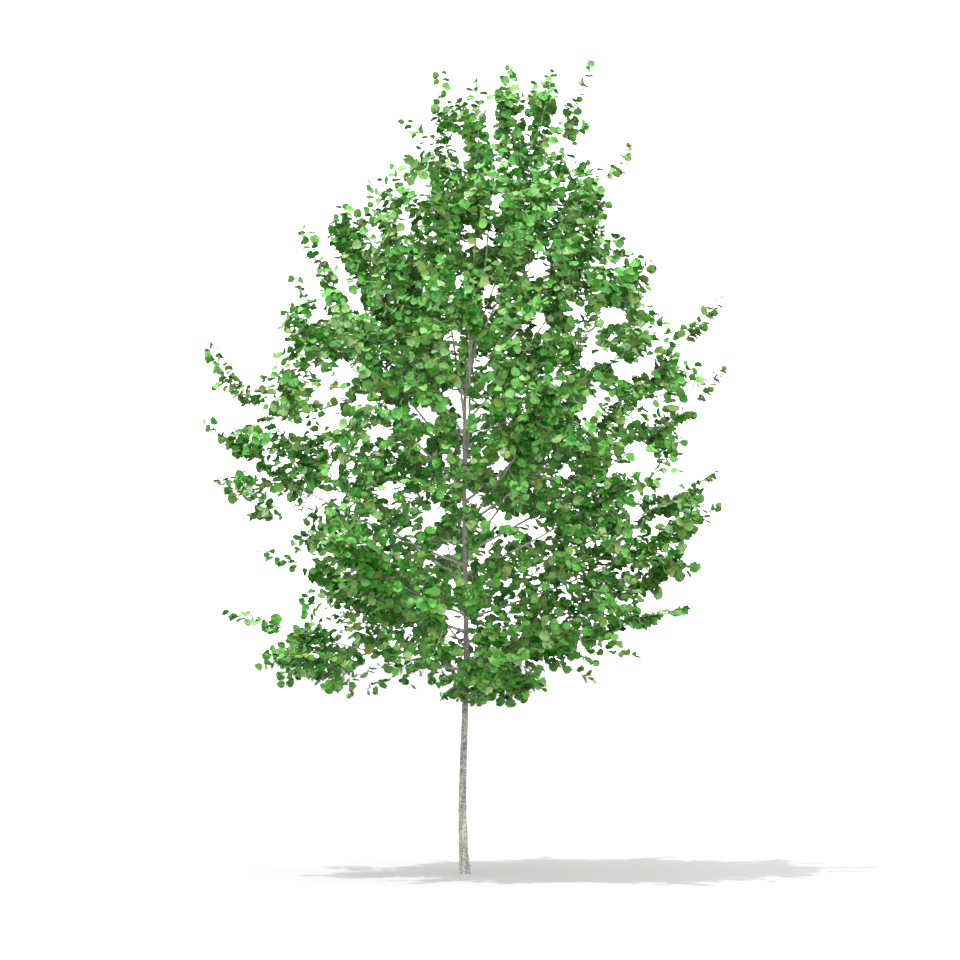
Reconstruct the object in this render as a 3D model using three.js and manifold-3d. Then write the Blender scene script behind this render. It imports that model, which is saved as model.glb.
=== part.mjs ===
// A young alder, a little over five metres tall, in full summer leaf. One slender trunk with a
// root flare runs up through the crown, forks high up, and carries ascending boughs on all sides.
// Each bough ends where it enters its own mass of twigs and leaves. +X is to the right of the
// front view, +Y away from it, +Z up. The origin is on the flat cut at ground level.
import * as THREE from "three";
import { mergeVertices } from "three/addons/utils/BufferGeometryUtils.js";
import Module from "manifold-3d";

const wasm = await Module();
wasm.setup();

// Driving dimensions, in millimetres and degrees.
const TREE_HEIGHT = 5180;
const TRUNK_LENGTH = 4480;
const CLEARANCE = 0.3;

const TRUNK_SIDES = 12;
const TRUNK_STEPS = 18;
const RING_POWER = 1.6;
const STEM_RADIUS = 20.5;
const BUTT_SWELL = 9.5;
const BUTT_HEIGHT = 650;
const ROOT_FLARE = 4.5;
const ROOT_FLARE_HEIGHT = 90;
const ROOT_LOBES = 4;
const TAPER_HEIGHT = 5400;
const TAPER_POWER = 0.75;
const FORK_HEIGHT = 3150;
const FORK_LENGTH = 200;
const FORK_LOSS = 0.28;

const SWAY = 21;
const SWAY_LENGTH = 2000;
const SWAY_FADE = 1500;
const SIDE_SWAY = 12;
const SIDE_SWAY_LENGTH = 2600;
const LEADER_LEAN = 215;
const LEADER_LEAN_LENGTH = 900;
const LEADER_TIP_X = 256;
const LESSER_LEADER_X = 96;
const LESSER_LEADER_Y = -160;
const LESSER_LEADER_TOP = 5040;

const CROWN_FOOT = 1100;
const CROWN_FLOOR = 1045;
const FLOOR_RISE = 600;
const FLOOR_TILT = 0.1;
const CROWN_FOOT_REACH = 550;
const CROWN_REACH = 1650;
const CROWN_WAIST = 2900;
const CROWN_POWER = 2.2;
const CROWN_SHOULDER = 3300;
const CROWN_TOP_REACH = 480;
const CROWN_TOP_LEAN = 300;

// Boughs of the two sides: height where it leaves the trunk, reach of its tip, height of its tip.
const LEFT_BOUGHS = [
  [1290, 1440, 1660],
  [1540, 1215, 2055],
  [1680, 1535, 2445],
  [1960, 1650, 2860],
  [1850, 1650, 3330],
  [2450, 1135, 3865],
  [2600, 1075, 4160],
  [2800, 920, 4345],
  [3050, 615, 4495],
  [3420, 180, 5165],
];
const RIGHT_BOUGHS = [
  [1330, 1375, 1710],
  [1470, 1485, 2000],
  [1620, 1615, 2320],
  [1800, 1605, 2575],
  [2040, 1645, 3195],
  [2220, 1665, 3710],
  [2705, 1170, 3885],
  [2870, 960, 4335],
  [3110, 1070, 4700],
  [3360, 785, 5145],
  [3480, 563, 5152],
];
const SIDE_SPREAD = 36;
const SIDE_DEPTH = 900;

// Boughs that lean to the front and the back fill the crown by rule.
const FILL_BOUGHS = 16;
const FILL_LOWEST = 1160;
const FILL_HIGHEST = 3080;
const FILL_SPREAD = 110;
const FILL_TURN = 315;
const FILL_REACH = 0.99;
const LEAST_RISE = 30;
const RISE_PER_HEIGHT = 0.885;
const FILL_POWER = 1.5;

const BOUGH_SIDES = 6;
const BOUGH_STEPS = 2;
const BOUGH_RADIUS = 4.6;
const BOUGH_RADIUS_PER_LENGTH = 0.0026;
const TIP_RADIUS = 2.2;
const TIP_SPRAY = 172;
const BOUGH_FIT = 0.8;
const BOUGH_TAPER = 0.9;
const BOUGH_SWING = 8;
const BEND_OUT = 0.55;
const BEND_UP = 0.4;
const BARE_SHARE = 0.3;
const BARE_LENGTH = 250;
const HIGHEST_BOUGH = 2200;

const STEM_STEPS = 4;
const TWIG_SIDES = 3;
const TWIG_PITCH = 290;
const LEAST_TWIGS = 4;
const TWIG_TRIES = 4;
const TWIG_LENGTH = 290;
const TWIG_SHARE = 0.2;
const TWIG_ANGLE = 54;
const TWIG_ANGLE_JITTER = 10;
const TWIG_TURN = 20;
const TWIG_SHORTENING = 0.72;
const LOW_TWIG_RISE = -0.2;
const HIGH_TWIG_RISE = 0.25;
const RISE_HEIGHT = 2600;
const TWIG_RADIUS = 3.2;
const TWIG_TIP = 1.4;
const TWIG_FIT = 0.42;

const LEAF_LENGTH = 375;
const LEAF_WIDTH = 0.84;
const LEAF_THICKNESS = 1 / 32;
const LEAF_SINK = 0.5;
const LEAF_PITCH = 150;
const LEAF_TRIES = 4;
const LEAF_SPACING = 0.43;
const LEAF_SPREAD = 0.75;
const LAST_LEAF_SPREAD = 0.15;
const LEAF_DROOP = 0.15;
const TIP_LEAF = 0.55;
const LAST_LEAF = 0.985;
const LEAST_LEAF = 0.1;
const LEAST_STEM_LEAF = 0.3;
const LEAST_TWIG_LEAF = 0.3;
const EDGE_TURN = 2.4;
const FACE_LIFT = 0.36;
const FACE_JITTER = 0.3;
const SIZE_JITTER = 0.15;
const RETRY_TURN = 101;
const RETRY_SIZE = 0.93;
const SPACE_MARGIN = 6;
const LIMB_MARGIN = 18;

const GOLDEN_ANGLE = 137.508;
const SAMPLES = 16;
const TRUNK_SAMPLES = 60;

const UP = new THREE.Vector3(0, 0, 1);
const FRONT = new THREE.Vector3(0, -1, 0);
const radians = THREE.MathUtils.degToRad;
const mix = THREE.MathUtils.lerp;
const smooth = THREE.MathUtils.smoothstep;

// A seeded number from 0 to 1 that depends only on its keys.
function chance(...keys) {
  const weights = [12.9898, 78.233, 37.719, 93.989];
  const sum = keys.reduce((total, key, i) => total + (key + 1) * weights[i], 0);
  const wave = Math.sin(sum) * 43758.5453;
  return wave - Math.floor(wave);
}

const around = (spread, ...keys) => (chance(...keys) * 2 - 1) * spread;

// The trunk's centre at a height: a damped sway below, and the lean of the leader above the fork.
function trunkAxis(z) {
  const sway = -SWAY * Math.sin((2 * Math.PI * z) / SWAY_LENGTH) * Math.exp(-z / SWAY_FADE);
  const past = Math.max(0, z - FORK_HEIGHT + FORK_LENGTH / 2);
  const lean = LEADER_LEAN * (1 - Math.exp(-past / LEADER_LEAN_LENGTH));
  const side = SIDE_SWAY * Math.sin((2 * Math.PI * z) / SIDE_SWAY_LENGTH);
  return new THREE.Vector3(sway + lean, side, z);
}

function trunkRadius(z) {
  const taper = STEM_RADIUS * (1 - z / TAPER_HEIGHT) ** TAPER_POWER;
  const swell = BUTT_SWELL * Math.exp(-z / BUTT_HEIGHT);
  const fork = 1 - FORK_LOSS * smooth(z, FORK_HEIGHT, FORK_HEIGHT + FORK_LENGTH);
  return (taper + swell) * fork;
}

// How far the crown reaches from its axis at a height.
function crownReach(z) {
  if (z > CROWN_SHOULDER) {
    const share = (z - CROWN_SHOULDER) / (TREE_HEIGHT - CROWN_SHOULDER);
    return mix(CROWN_REACH, CROWN_TOP_REACH, share);
  }
  const below = Math.max(0, (CROWN_WAIST - z) / (CROWN_WAIST - CROWN_FOOT));
  return mix(CROWN_REACH, CROWN_FOOT_REACH, below ** CROWN_POWER);
}

function crownLean(z) {
  return CROWN_TOP_LEAN * Math.max(0, (z - CROWN_SHOULDER) / (TREE_HEIGHT - CROWN_SHOULDER));
}

// The underside of the crown: it rises outwards, and more on the right than on the left.
function crownFloor(place) {
  const reach = Math.hypot(place.x, place.y) / CROWN_REACH;
  return CROWN_FLOOR + FLOOR_RISE * reach ** 3 + FLOOR_TILT * place.x;
}

// One bough: its curve from the trunk's axis to its tip, starting flat and turning upwards.
function makeBough(name, order, foot, tip) {
  const start = trunkAxis(foot);
  const rise = tip.z - start.z;
  const swing = around(BOUGH_SWING, order, 1);
  const out = new THREE.Vector3(tip.x - start.x, tip.y - start.y, 0)
    .multiplyScalar(BEND_OUT)
    .applyAxisAngle(UP, radians(swing));
  const bend = start.clone().add(out).addScaledVector(UP, rise * BEND_UP);
  const end = tip.clone().addScaledVector(tip.clone().sub(bend).normalize(), -TIP_SPRAY);
  const curve = new THREE.QuadraticBezierCurve3(start, bend, end);
  const length = curve.getLength();
  const base = Math.min(BOUGH_RADIUS + BOUGH_RADIUS_PER_LENGTH * length, BOUGH_FIT * trunkRadius(foot));
  return {
    name,
    order,
    curve,
    length,
    limb: foot < HIGHEST_BOUGH,
    radius: (t) => mix(TIP_RADIUS, base, (1 - t) ** BOUGH_TAPER),
  };
}

// A bough of the left or right side, turned a little to the front or the back by its order.
function sideBough(side, [foot, reach, top], i) {
  const sign = side === "left" ? -1 : 1;
  const depth = Math.tan(radians(around(SIDE_SPREAD, i, sign + 5))) * SIDE_DEPTH;
  const tip = new THREE.Vector3(sign * reach, depth * Math.min(1, reach / SIDE_DEPTH), top);
  return makeBough(`${side}_${i + 1}`, sign * 20 + i, foot, tip);
}

// A bough of the front or the back, by golden angle, the crown's reach and the rise with height.
function fillBough(i) {
  const side = i % 2 ? "back" : "front";
  const share = i / (FILL_BOUGHS - 1);
  const foot = mix(FILL_LOWEST, FILL_HIGHEST, share ** FILL_POWER);
  const top = foot + LEAST_RISE + RISE_PER_HEIGHT * (foot - CROWN_FOOT);
  const turn = (((i * GOLDEN_ANGLE + FILL_TURN) / 360) % 1) - 0.5;
  const heading = radians((i % 2 ? 90 : -90) + turn * FILL_SPREAD);
  const reach = crownReach(top) * FILL_REACH;
  const tip = new THREE.Vector3(Math.cos(heading) * reach, Math.sin(heading) * reach, top);
  tip.x += crownLean(top);
  return makeBough(`${side}_${Math.floor(i / 2) + 1}`, 60 + i, foot, tip);
}

// A frame across a direction: one axis to the side of it and one lifted towards a reference.
const reference = (direction) => (Math.abs(direction.z) > 0.9 ? FRONT : UP);
function across(direction, level = reference(direction)) {
  const side = new THREE.Vector3().crossVectors(direction, level).normalize();
  const lift = new THREE.Vector3().crossVectors(side, direction).normalize();
  return { side, lift };
}

// The length of curve passed for each share of it, at one place along it.
function speed(curve, t) {
  const step = 1e-4;
  return curve.getPoint(t + step).distanceTo(curve.getPoint(t)) / step;
}

// A curve made of a few straight steps, so that what grows on a limb starts inside the limb itself.
class StraightSteps extends THREE.Curve {
  constructor(curve, from, to, steps) {
    super();
    this.facing = (t) => curve.getTangent(mix(from, to, t));
    this.stops = Array.from({ length: steps + 1 }, (_, i) => curve.getPoint(mix(from, to, i / steps)));
  }

  getPoint(t, target = new THREE.Vector3()) {
    const last = this.stops.length - 1;
    const i = Math.min(Math.floor(t * last), last - 1);
    return target.copy(this.stops[i]).lerp(this.stops[i + 1], t * last - i);
  }
}

// A tapering limb of a few sides along a path of straight steps, made by bending a cylinder.
function taperedLimb(path, radius, sides) {
  const steps = path.stops.length - 1;
  const geometry = new THREE.CylinderGeometry(1, 1, 1, sides, steps);
  const place = geometry.getAttribute("position");
  const level = reference(path.getPoint(1).sub(path.getPoint(0)).normalize());
  for (let i = 0; i < place.count; i++) {
    const t = place.getY(i) + 0.5;
    const ring = Math.hypot(place.getX(i), place.getZ(i));
    const turn = Math.atan2(place.getZ(i), place.getX(i));
    const size = ring < 1e-6 ? 0 : radius(t);
    const { side, lift } = across(path.facing(t), level);
    const at = path
      .getPoint(t)
      .addScaledVector(side, Math.cos(turn) * size)
      .addScaledVector(lift, Math.sin(turn) * size);
    place.setXYZ(i, at.x, at.y, at.z);
  }
  return geometry;
}

// The trunk, grown by a clearance where it is used to cut a bough clear of it.
function trunkGeometry(grow) {
  const heightAt = (t) => TRUNK_LENGTH * t ** RING_POWER;
  const radius = (z, turn) => {
    const lobes = 1 + 0.5 * Math.cos(ROOT_LOBES * turn);
    return trunkRadius(z) + ROOT_FLARE * lobes * Math.exp(-z / ROOT_FLARE_HEIGHT) + grow;
  };
  const geometry = new THREE.CylinderGeometry(1, 1, 1, TRUNK_SIDES, TRUNK_STEPS);
  const place = geometry.getAttribute("position");
  for (let i = 0; i < place.count; i++) {
    const t = place.getY(i) + 0.5;
    const ring = Math.hypot(place.getX(i), place.getZ(i));
    const turn = Math.atan2(-place.getZ(i), place.getX(i));
    const z = heightAt(t);
    const size = ring < 1e-6 ? 0 : radius(z, turn);
    const at = trunkAxis(z);
    place.setXYZ(i, at.x + Math.cos(turn) * size, at.y + Math.sin(turn) * size, at.z);
  }
  return geometry;
}

// A closed geometry as a solid, and a solid's largest body as a geometry.
function toSolid(geometry) {
  const bare = geometry.clone();
  bare.deleteAttribute("normal");
  bare.deleteAttribute("uv");
  const merged = mergeVertices(bare);
  const vertProperties = new Float32Array(merged.getAttribute("position").array);
  const triVerts = new Uint32Array(merged.index.array);
  return new wasm.Manifold(new wasm.Mesh({ numProp: 3, vertProperties, triVerts }));
}

function toGeometry(solid) {
  const bodies = solid.decompose();
  const largest = bodies.reduce((a, b) => (a.volume() > b.volume() ? a : b));
  const mesh = largest.getMesh();
  const geometry = new THREE.BufferGeometry();
  geometry.setAttribute("position", new THREE.BufferAttribute(mesh.vertProperties, 3));
  geometry.setIndex(new THREE.BufferAttribute(mesh.triVerts, 1));
  geometry.computeVertexNormals();
  return geometry;
}

// A side twig: it leaves the stem at an angle, turns round it by the golden angle and lifts to the light.
function makeTwig(crown, stem, k, share, attempt) {
  const start = stem.getPoint(share);
  const along = stem.getTangent(share);
  const { side, lift } = across(along);
  const turn = radians(k * GOLDEN_ANGLE + attempt * RETRY_TURN + around(TWIG_TURN, crown.order, k, 1));
  const angle = radians(TWIG_ANGLE + around(TWIG_ANGLE_JITTER, crown.order, k, 2));
  const size = 1 + around(SIZE_JITTER, crown.order, k, 3);
  const full = TWIG_LENGTH + TWIG_SHARE * crown.length;
  const length = full * (1 - TWIG_SHORTENING * share) * size * RETRY_SIZE ** attempt;
  const rise = mix(LOW_TWIG_RISE, HIGH_TWIG_RISE, smooth(start.z, CROWN_FOOT, RISE_HEIGHT));
  const direction = along
    .clone()
    .multiplyScalar(Math.cos(angle))
    .addScaledVector(side, Math.cos(turn) * Math.sin(angle))
    .addScaledVector(lift, Math.sin(turn) * Math.sin(angle))
    .addScaledVector(UP, rise);
  const tip = start.clone().addScaledVector(direction, length);
  const path = new StraightSteps(new THREE.LineCurve3(start, tip), 0, 1, 1);
  return { path, length: start.distanceTo(tip) };
}

// A leaf: five points round its blade, blunt at the end, and a rib that rises near its root.
function leafGeometry(length) {
  const width = length * LEAF_WIDTH;
  const rib = length * LEAF_THICKNESS;
  const points = [
    [-LEAF_SINK, 0, 0],
    [0.48 * length, -0.5 * width, 0],
    [0.95 * length, -0.22 * width, 0],
    [0.95 * length, 0.22 * width, 0],
    [0.48 * length, 0.5 * width, 0],
    [0.3 * length, 0, rib],
  ];
  const faces = [0, 4, 1, 1, 4, 3, 1, 3, 2, 0, 1, 5, 1, 2, 5, 2, 3, 5, 3, 4, 5, 4, 0, 5];
  const geometry = new THREE.BufferGeometry();
  geometry.setAttribute("position", new THREE.Float32BufferAttribute(points.flat(), 3));
  geometry.setIndex(faces);
  return geometry;
}

// Sets a leaf on a twig. The leaves of one twig lie near one plane, to either side of it in turn. The
// last leaf carries straight on. The plane faces up a little and, near a tip, along the crown's edge.
function placeLeaf(root, along, side, last, size, keys) {
  const edge = Math.atan2(root.y, root.x) + Math.PI / 2;
  const [order, twig, j, attempt] = keys;
  const spin = edge + around(EDGE_TURN, order, twig) + radians(attempt * RETRY_TURN);
  const plane = new THREE.Vector3(Math.cos(spin), Math.sin(spin), FACE_LIFT)
    .projectOnPlane(along)
    .normalize();
  const outward = new THREE.Vector3().crossVectors(plane, along).multiplyScalar(side);
  const axis = outward
    .multiplyScalar(last ? LAST_LEAF_SPREAD : LEAF_SPREAD)
    .addScaledVector(along, 0.7)
    .addScaledVector(UP, -LEAF_DROOP)
    .normalize();
  const face = plane
    .addScaledVector(UP, around(FACE_JITTER, order, twig * 12 + j, 1))
    .projectOnPlane(axis)
    .normalize();
  const left = new THREE.Vector3().crossVectors(face, axis);
  const length = LEAF_LENGTH * (1 + around(SIZE_JITTER, order, twig * 12 + j, 2)) * size;
  const matrix = new THREE.Matrix4().makeBasis(axis, left, face).setPosition(root);
  return leafGeometry(length).applyMatrix4(matrix);
}

// The boughs, from the lowest of each side to the highest.
const boughs = [
  ...LEFT_BOUGHS.map((sizes, i) => sideBough("left", sizes, i)),
  ...RIGHT_BOUGHS.map((sizes, i) => sideBough("right", sizes, i)),
  ...Array.from({ length: FILL_BOUGHS }, (_, i) => fillBough(i)),
];
for (const bough of boughs) {
  bough.start = bough.limb ? Math.min(BARE_SHARE, BARE_LENGTH / bough.length) : 0;
}

// The lesser leader of the fork stands beside the trunk's own, which is the stem of the top mass.
const lesserTip = new THREE.Vector3(LESSER_LEADER_X, LESSER_LEADER_Y, LESSER_LEADER_TOP);
const lesser = makeBough("lesser_leader", 91, FORK_HEIGHT + FORK_LENGTH / 4, lesserTip);
lesser.start = 0;

const leaderStart = trunkAxis(TRUNK_LENGTH);
const leaderTip = new THREE.Vector3(LEADER_TIP_X, 0, TREE_HEIGHT - TIP_SPRAY);
const leaderBend = leaderStart.clone().setZ((leaderStart.z + leaderTip.z) / 2);
const leaderCurve = new THREE.QuadraticBezierCurve3(leaderStart, leaderBend, leaderTip);
const leader = {
  name: "top",
  order: 90,
  curve: leaderCurve,
  length: leaderCurve.getLength(),
  limb: false,
  start: 0,
  radius: (t) => mix(TIP_RADIUS, trunkRadius(TRUNK_LENGTH), 1 - t),
};
const crowns = [...boughs, lesser, leader];

// Each mass keeps to the space that is nearer to its own stem than to any other stem or limb.
for (const crown of crowns) {
  const along = (from, to) => {
    return Array.from({ length: SAMPLES }, (_, i) => crown.curve.getPoint(mix(from, to, i / (SAMPLES - 1))));
  };
  crown.stemLine = along(crown.start, 1);
  crown.limbLine = along(0, crown.start);
}
const trunkLine = Array.from({ length: TRUNK_SAMPLES }, (_, i) => {
  return trunkAxis((TRUNK_LENGTH * i) / (TRUNK_SAMPLES - 1));
});

const segment = new THREE.Line3();
const nearest = new THREE.Vector3();
function distanceTo(line, place) {
  let least = Infinity;
  for (let i = 0; i + 1 < line.length; i++) {
    segment.set(line[i], line[i + 1]).closestPointToPoint(place, true, nearest);
    least = Math.min(least, nearest.distanceTo(place));
  }
  return least;
}

function inOwnSpace(crown, place) {
  const own = distanceTo(crown.stemLine, place);
  if (place.z < crownFloor(place)) return false;
  const girth = trunkRadius(Math.min(place.z, TRUNK_LENGTH));
  if (distanceTo(trunkLine, place) < girth + SPACE_MARGIN) return false;
  return crowns.every((other) => {
    if (other.limb && distanceTo(other.limbLine, place) < LIMB_MARGIN) return false;
    return other === crown || distanceTo(other.stemLine, place) > own + SPACE_MARGIN;
  });
}

// The points of a leaf that must stay in the mass's space: its corners, and halfway along its edges.
function leafPoints(geometry) {
  const place = geometry.getAttribute("position");
  const corner = (i) => new THREE.Vector3().fromBufferAttribute(place, i);
  const ring = [1, 2, 3, 4].map(corner);
  const halves = ring.map((p, i) => p.clone().lerp(ring[(i + 1) % 4], 0.5));
  return [...ring, ...halves, corner(5)];
}

// A mass: its stem, side twigs and leaves, each twig or leaf kept only where it stays in its space.
function massSolid(crown, cutter) {
  const onTrunk = !crown.limb && crown !== leader;
  const from = onTrunk ? 0 : crown.start + CLEARANCE / speed(crown.curve, crown.start);
  const stem = new StraightSteps(crown.curve, from, 1, STEM_STEPS);
  const thickness = (t) => crown.radius(mix(from, 1, t));
  const stemSolid = toSolid(taperedLimb(stem, thickness, TWIG_SIDES));
  const solids = [onTrunk ? stemSolid.subtract(cutter) : stemSolid];
  const middles = [];

  const tryLeaf = (path, t, full, keys) => {
    const [, , j, attempt] = keys;
    const size = full * RETRY_SIZE ** attempt;
    const leaf = placeLeaf(path.getPoint(t), path.getTangent(t), j % 2 ? 1 : -1, j === 0, size, keys);
    const points = leafPoints(leaf);
    const middle = points[0].clone().add(points[3]).multiplyScalar(0.5);
    if (middles.some((m) => m.distanceTo(middle) < LEAF_LENGTH * LEAF_SPACING)) return false;
    if (!points.every((p) => inOwnSpace(crown, p))) return false;
    middles.push(middle);
    solids.push(toSolid(leaf));
    return true;
  };
  const leavesAlong = (path, least, length, twig, full) => {
    const count = Math.floor(((LAST_LEAF - least) * length) / LEAF_PITCH) + 1;
    for (let j = 0; j < count; j++) {
      const t = LAST_LEAF - (j * LEAF_PITCH) / length;
      for (let attempt = 0; attempt < LEAF_TRIES; attempt++) {
        if (tryLeaf(path, t, full(t), [crown.order, twig, j, attempt])) break;
      }
    }
  };

  const length = (1 - from) * crown.length;
  leavesAlong(stem, LEAST_STEM_LEAF, length, 0, (t) => mix(1, TIP_LEAF, t));
  const twigs = Math.max(LEAST_TWIGS, Math.round(length / TWIG_PITCH));
  for (let k = 0; k < twigs; k++) {
    for (let attempt = 0; attempt < TWIG_TRIES; attempt++) {
      const share = mix(LEAST_LEAF, 1, (k + 0.35) / (twigs + 0.6));
      const twig = makeTwig(crown, stem, k, share, attempt);
      if (![0.4, 0.6, 0.8, 1].every((t) => inOwnSpace(crown, twig.path.getPoint(t)))) continue;
      const root = Math.min(TWIG_RADIUS, TWIG_FIT * thickness(share));
      solids.push(toSolid(taperedLimb(twig.path, (t) => mix(root, TWIG_TIP, t), TWIG_SIDES)));
      const full = (t) => mix(1, TIP_LEAF, (t * (k + 1)) / twigs);
      leavesAlong(twig.path, LEAST_TWIG_LEAF, twig.length, k + 1, full);
      break;
    }
  }
  return wasm.Manifold.union(solids);
}

const bark = new THREE.MeshStandardMaterial({ color: 0xa39c92, roughness: 0.85, metalness: 0 });
const foliage = new THREE.MeshStandardMaterial({ color: 0x3f8a3a, roughness: 0.6, metalness: 0 });

const alder = new THREE.Group();
function addNode(name, geometry, material) {
  const mesh = new THREE.Mesh(geometry, material);
  mesh.name = name;
  alder.add(mesh);
}

const cutter = toSolid(trunkGeometry(CLEARANCE + 0.05));
addNode("trunk", trunkGeometry(0), bark);
for (const bough of boughs.filter((b) => b.limb)) {
  const path = new StraightSteps(bough.curve, 0, bough.start, BOUGH_STEPS);
  const limb = toSolid(taperedLimb(path, (t) => bough.radius(bough.start * t), BOUGH_SIDES));
  addNode(`bough_${bough.name}`, toGeometry(limb.subtract(cutter)), bark);
}
for (const crown of crowns) {
  addNode(`mass_${crown.name}`, toGeometry(massSolid(crown, cutter)), foliage);
}

export default alder;
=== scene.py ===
import bpy
import numpy as np
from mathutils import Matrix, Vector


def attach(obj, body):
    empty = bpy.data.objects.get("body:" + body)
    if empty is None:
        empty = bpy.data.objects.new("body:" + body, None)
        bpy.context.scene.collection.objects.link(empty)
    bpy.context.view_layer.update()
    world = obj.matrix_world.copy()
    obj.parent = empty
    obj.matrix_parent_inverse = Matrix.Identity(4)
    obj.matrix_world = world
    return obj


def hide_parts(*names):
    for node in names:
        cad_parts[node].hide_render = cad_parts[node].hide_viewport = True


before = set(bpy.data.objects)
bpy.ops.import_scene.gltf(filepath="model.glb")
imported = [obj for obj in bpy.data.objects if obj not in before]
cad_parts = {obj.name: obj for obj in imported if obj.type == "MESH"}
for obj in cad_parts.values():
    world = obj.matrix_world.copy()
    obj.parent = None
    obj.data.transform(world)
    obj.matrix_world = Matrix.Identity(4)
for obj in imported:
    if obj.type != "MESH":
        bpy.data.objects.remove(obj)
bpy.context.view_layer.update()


# The trunk: one slender stem of a young alder, cut flat below, flared at its foot and swaying a little.
# Thin grey-beige bark with shallow ridges. Above the fork it is the stronger of two leaders.
TREE_HEIGHT = 5.18
TRUNK_LENGTH = 4.48
STEM_RADIUS = 0.0205
BUTT_SWELL = 0.0095
BUTT_HEIGHT = 0.65
ROOT_FLARE = 0.0045
ROOT_FLARE_HEIGHT = 0.09
ROOT_LOBES = 4
TAPER_HEIGHT = 5.4
TAPER_POWER = 0.75
FORK_HEIGHT = 3.15
FORK_LENGTH = 0.2
FORK_LOSS = 0.28
SWAY = 0.021
SWAY_LENGTH = 2.0
SWAY_FADE = 1.5
SIDE_SWAY = 0.012
SIDE_SWAY_LENGTH = 2.6
LEADER_LEAN = 0.215
LEADER_LEAN_LENGTH = 0.9
TRUNK_SIDES = 48
TRUNK_RINGS = 480
TRUNK_RING_POWER = 1.25
ROOT_LOBE_DEPTH = 0.5
RIDGE_HEIGHT = 0.0009
RIDGE_WAVES = 48
RIDGE_TURNS = (1, 15)
RIDGE_LENGTHS = (0.03, 0.2)
TRUNK_RIDGE_SEED = 3
TRUNK_BARK = dict(pale=(160, 156, 150), dark=(52, 49, 47), cork=(62, 58, 56), lenticels=0.6,
                  relief=0.0012)
BARK_STREAKS = dict(stretch=(1, 1, 0.12), scale=36, detail=3, low=0.36, high=0.64)
BARK_CROSS_MARKS = dict(stretch=(1, 1, 2.4), scale=46, detail=4, low=0.38, high=0.62)
BARK_DASHES = dict(stretch=(1, 1, 5), scale=75, detail=2, low=0.6, high=0.68)
CROSS_MARK_SHARE = 0.55
# Painted light: between these heights the dark bark marks fade, to offset the shade of the crown.
PAINTED_LIGHT_HEIGHTS = (1.0, 2.2)
PAINTED_LIGHT_DARK_SHARE = 0.35
BARK_ROUGHNESS = (0.66, 0.92)
BARK_SHINE = 0.3
BARK_BUMP = 0.8
NOISE_ROUGHNESS = 0.6
UP = np.array([0.0, 0.0, 1.0])
FRONT = np.array([0.0, -1.0, 0.0])
TAU = 2 * np.pi


def mix(low, high, share):
    """The value that is a share of the way from low to high."""
    return low + (high - low) * share


def smooth_step(value, low, high):
    """Rises from 0 to 1 between low and high as 3 squares less 2 cubes of the share passed."""
    share = np.clip((value - low) / (high - low), 0, 1)
    return share * share * (3 - 2 * share)


def unit(vectors):
    """Vectors divided by their own lengths."""
    return vectors / np.linalg.norm(vectors, axis=-1, keepdims=True)


def trunk_axis(z):
    """The trunk's centre at a height: a damped sine sway below, and a lean that settles above the fork."""
    sway = -SWAY * np.sin(TAU * z / SWAY_LENGTH) * np.exp(-z / SWAY_FADE)
    past = np.maximum(0, z - FORK_HEIGHT + FORK_LENGTH / 2)
    lean = LEADER_LEAN * (1 - np.exp(-past / LEADER_LEAN_LENGTH))
    side = SIDE_SWAY * np.sin(TAU * z / SIDE_SWAY_LENGTH)
    return np.stack([sway + lean, side, z], axis=-1)


def trunk_radius(z):
    """A power of the height left, plus the butt's fading swell, less what the fork takes away."""
    taper = STEM_RADIUS * (1 - z / TAPER_HEIGHT) ** TAPER_POWER
    swell = BUTT_SWELL * np.exp(-z / BUTT_HEIGHT)
    return (taper + swell) * (1 - FORK_LOSS * smooth_step(z, FORK_HEIGHT, FORK_HEIGHT + FORK_LENGTH))


def bark_ridges(turn, along, seed):
    """Relief of about -1 to 1: a sum of seeded cosines that turn round the limb and slant along it."""
    draw = np.random.default_rng(seed)
    turns = draw.integers(*RIDGE_TURNS, RIDGE_WAVES)
    lengths = draw.uniform(*RIDGE_LENGTHS, RIDGE_WAVES)
    phases = draw.uniform(0, TAU, RIDGE_WAVES)
    waves = [np.cos(n * turn + TAU * along / size + phase) for n, size, phase in zip(turns, lengths, phases)]
    return sum(waves) / np.sqrt(RIDGE_WAVES)


def ring_faces(limbs, rings, sides):
    """Quads between neighbouring rings of each limb, and one face to close each of its two ends."""
    index = np.arange(limbs * rings * sides).reshape(limbs, rings, sides)
    after = np.roll(index, -1, axis=2)
    quads = np.stack([index[:, :-1], index[:, 1:], after[:, 1:], after[:, :-1]], axis=-1)
    return [quads.reshape(-1, 4), index[:, 0], index[:, -1, ::-1]]


def make_piece(name, points, faces, materials, which=None):
    """A mesh from whole arrays, which rides on the tree. Each array of faces has one number of corners."""
    mesh = bpy.data.meshes.new(name)
    corners = np.concatenate([group.ravel() for group in faces]).astype(np.int32)
    sizes = np.concatenate([np.full(len(group), group.shape[1]) for group in faces])
    mesh.vertices.add(len(points))
    mesh.vertices.foreach_set("co", points.astype(np.float32).ravel())
    mesh.loops.add(len(corners))
    mesh.loops.foreach_set("vertex_index", corners)
    mesh.polygons.add(len(sizes))
    mesh.polygons.foreach_set("loop_start", (np.cumsum(sizes) - sizes).astype(np.int32))
    mesh.polygons.foreach_set("use_smooth", np.ones(len(sizes), bool))
    for material in materials:
        mesh.materials.append(material)
    if which is not None:
        mesh.polygons.foreach_set("material_index", which.astype(np.int32))
    mesh.update(calc_edges=True)
    piece = bpy.data.objects.new(name, mesh)
    bpy.context.scene.collection.objects.link(piece)
    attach(piece, "root")
    return piece


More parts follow.
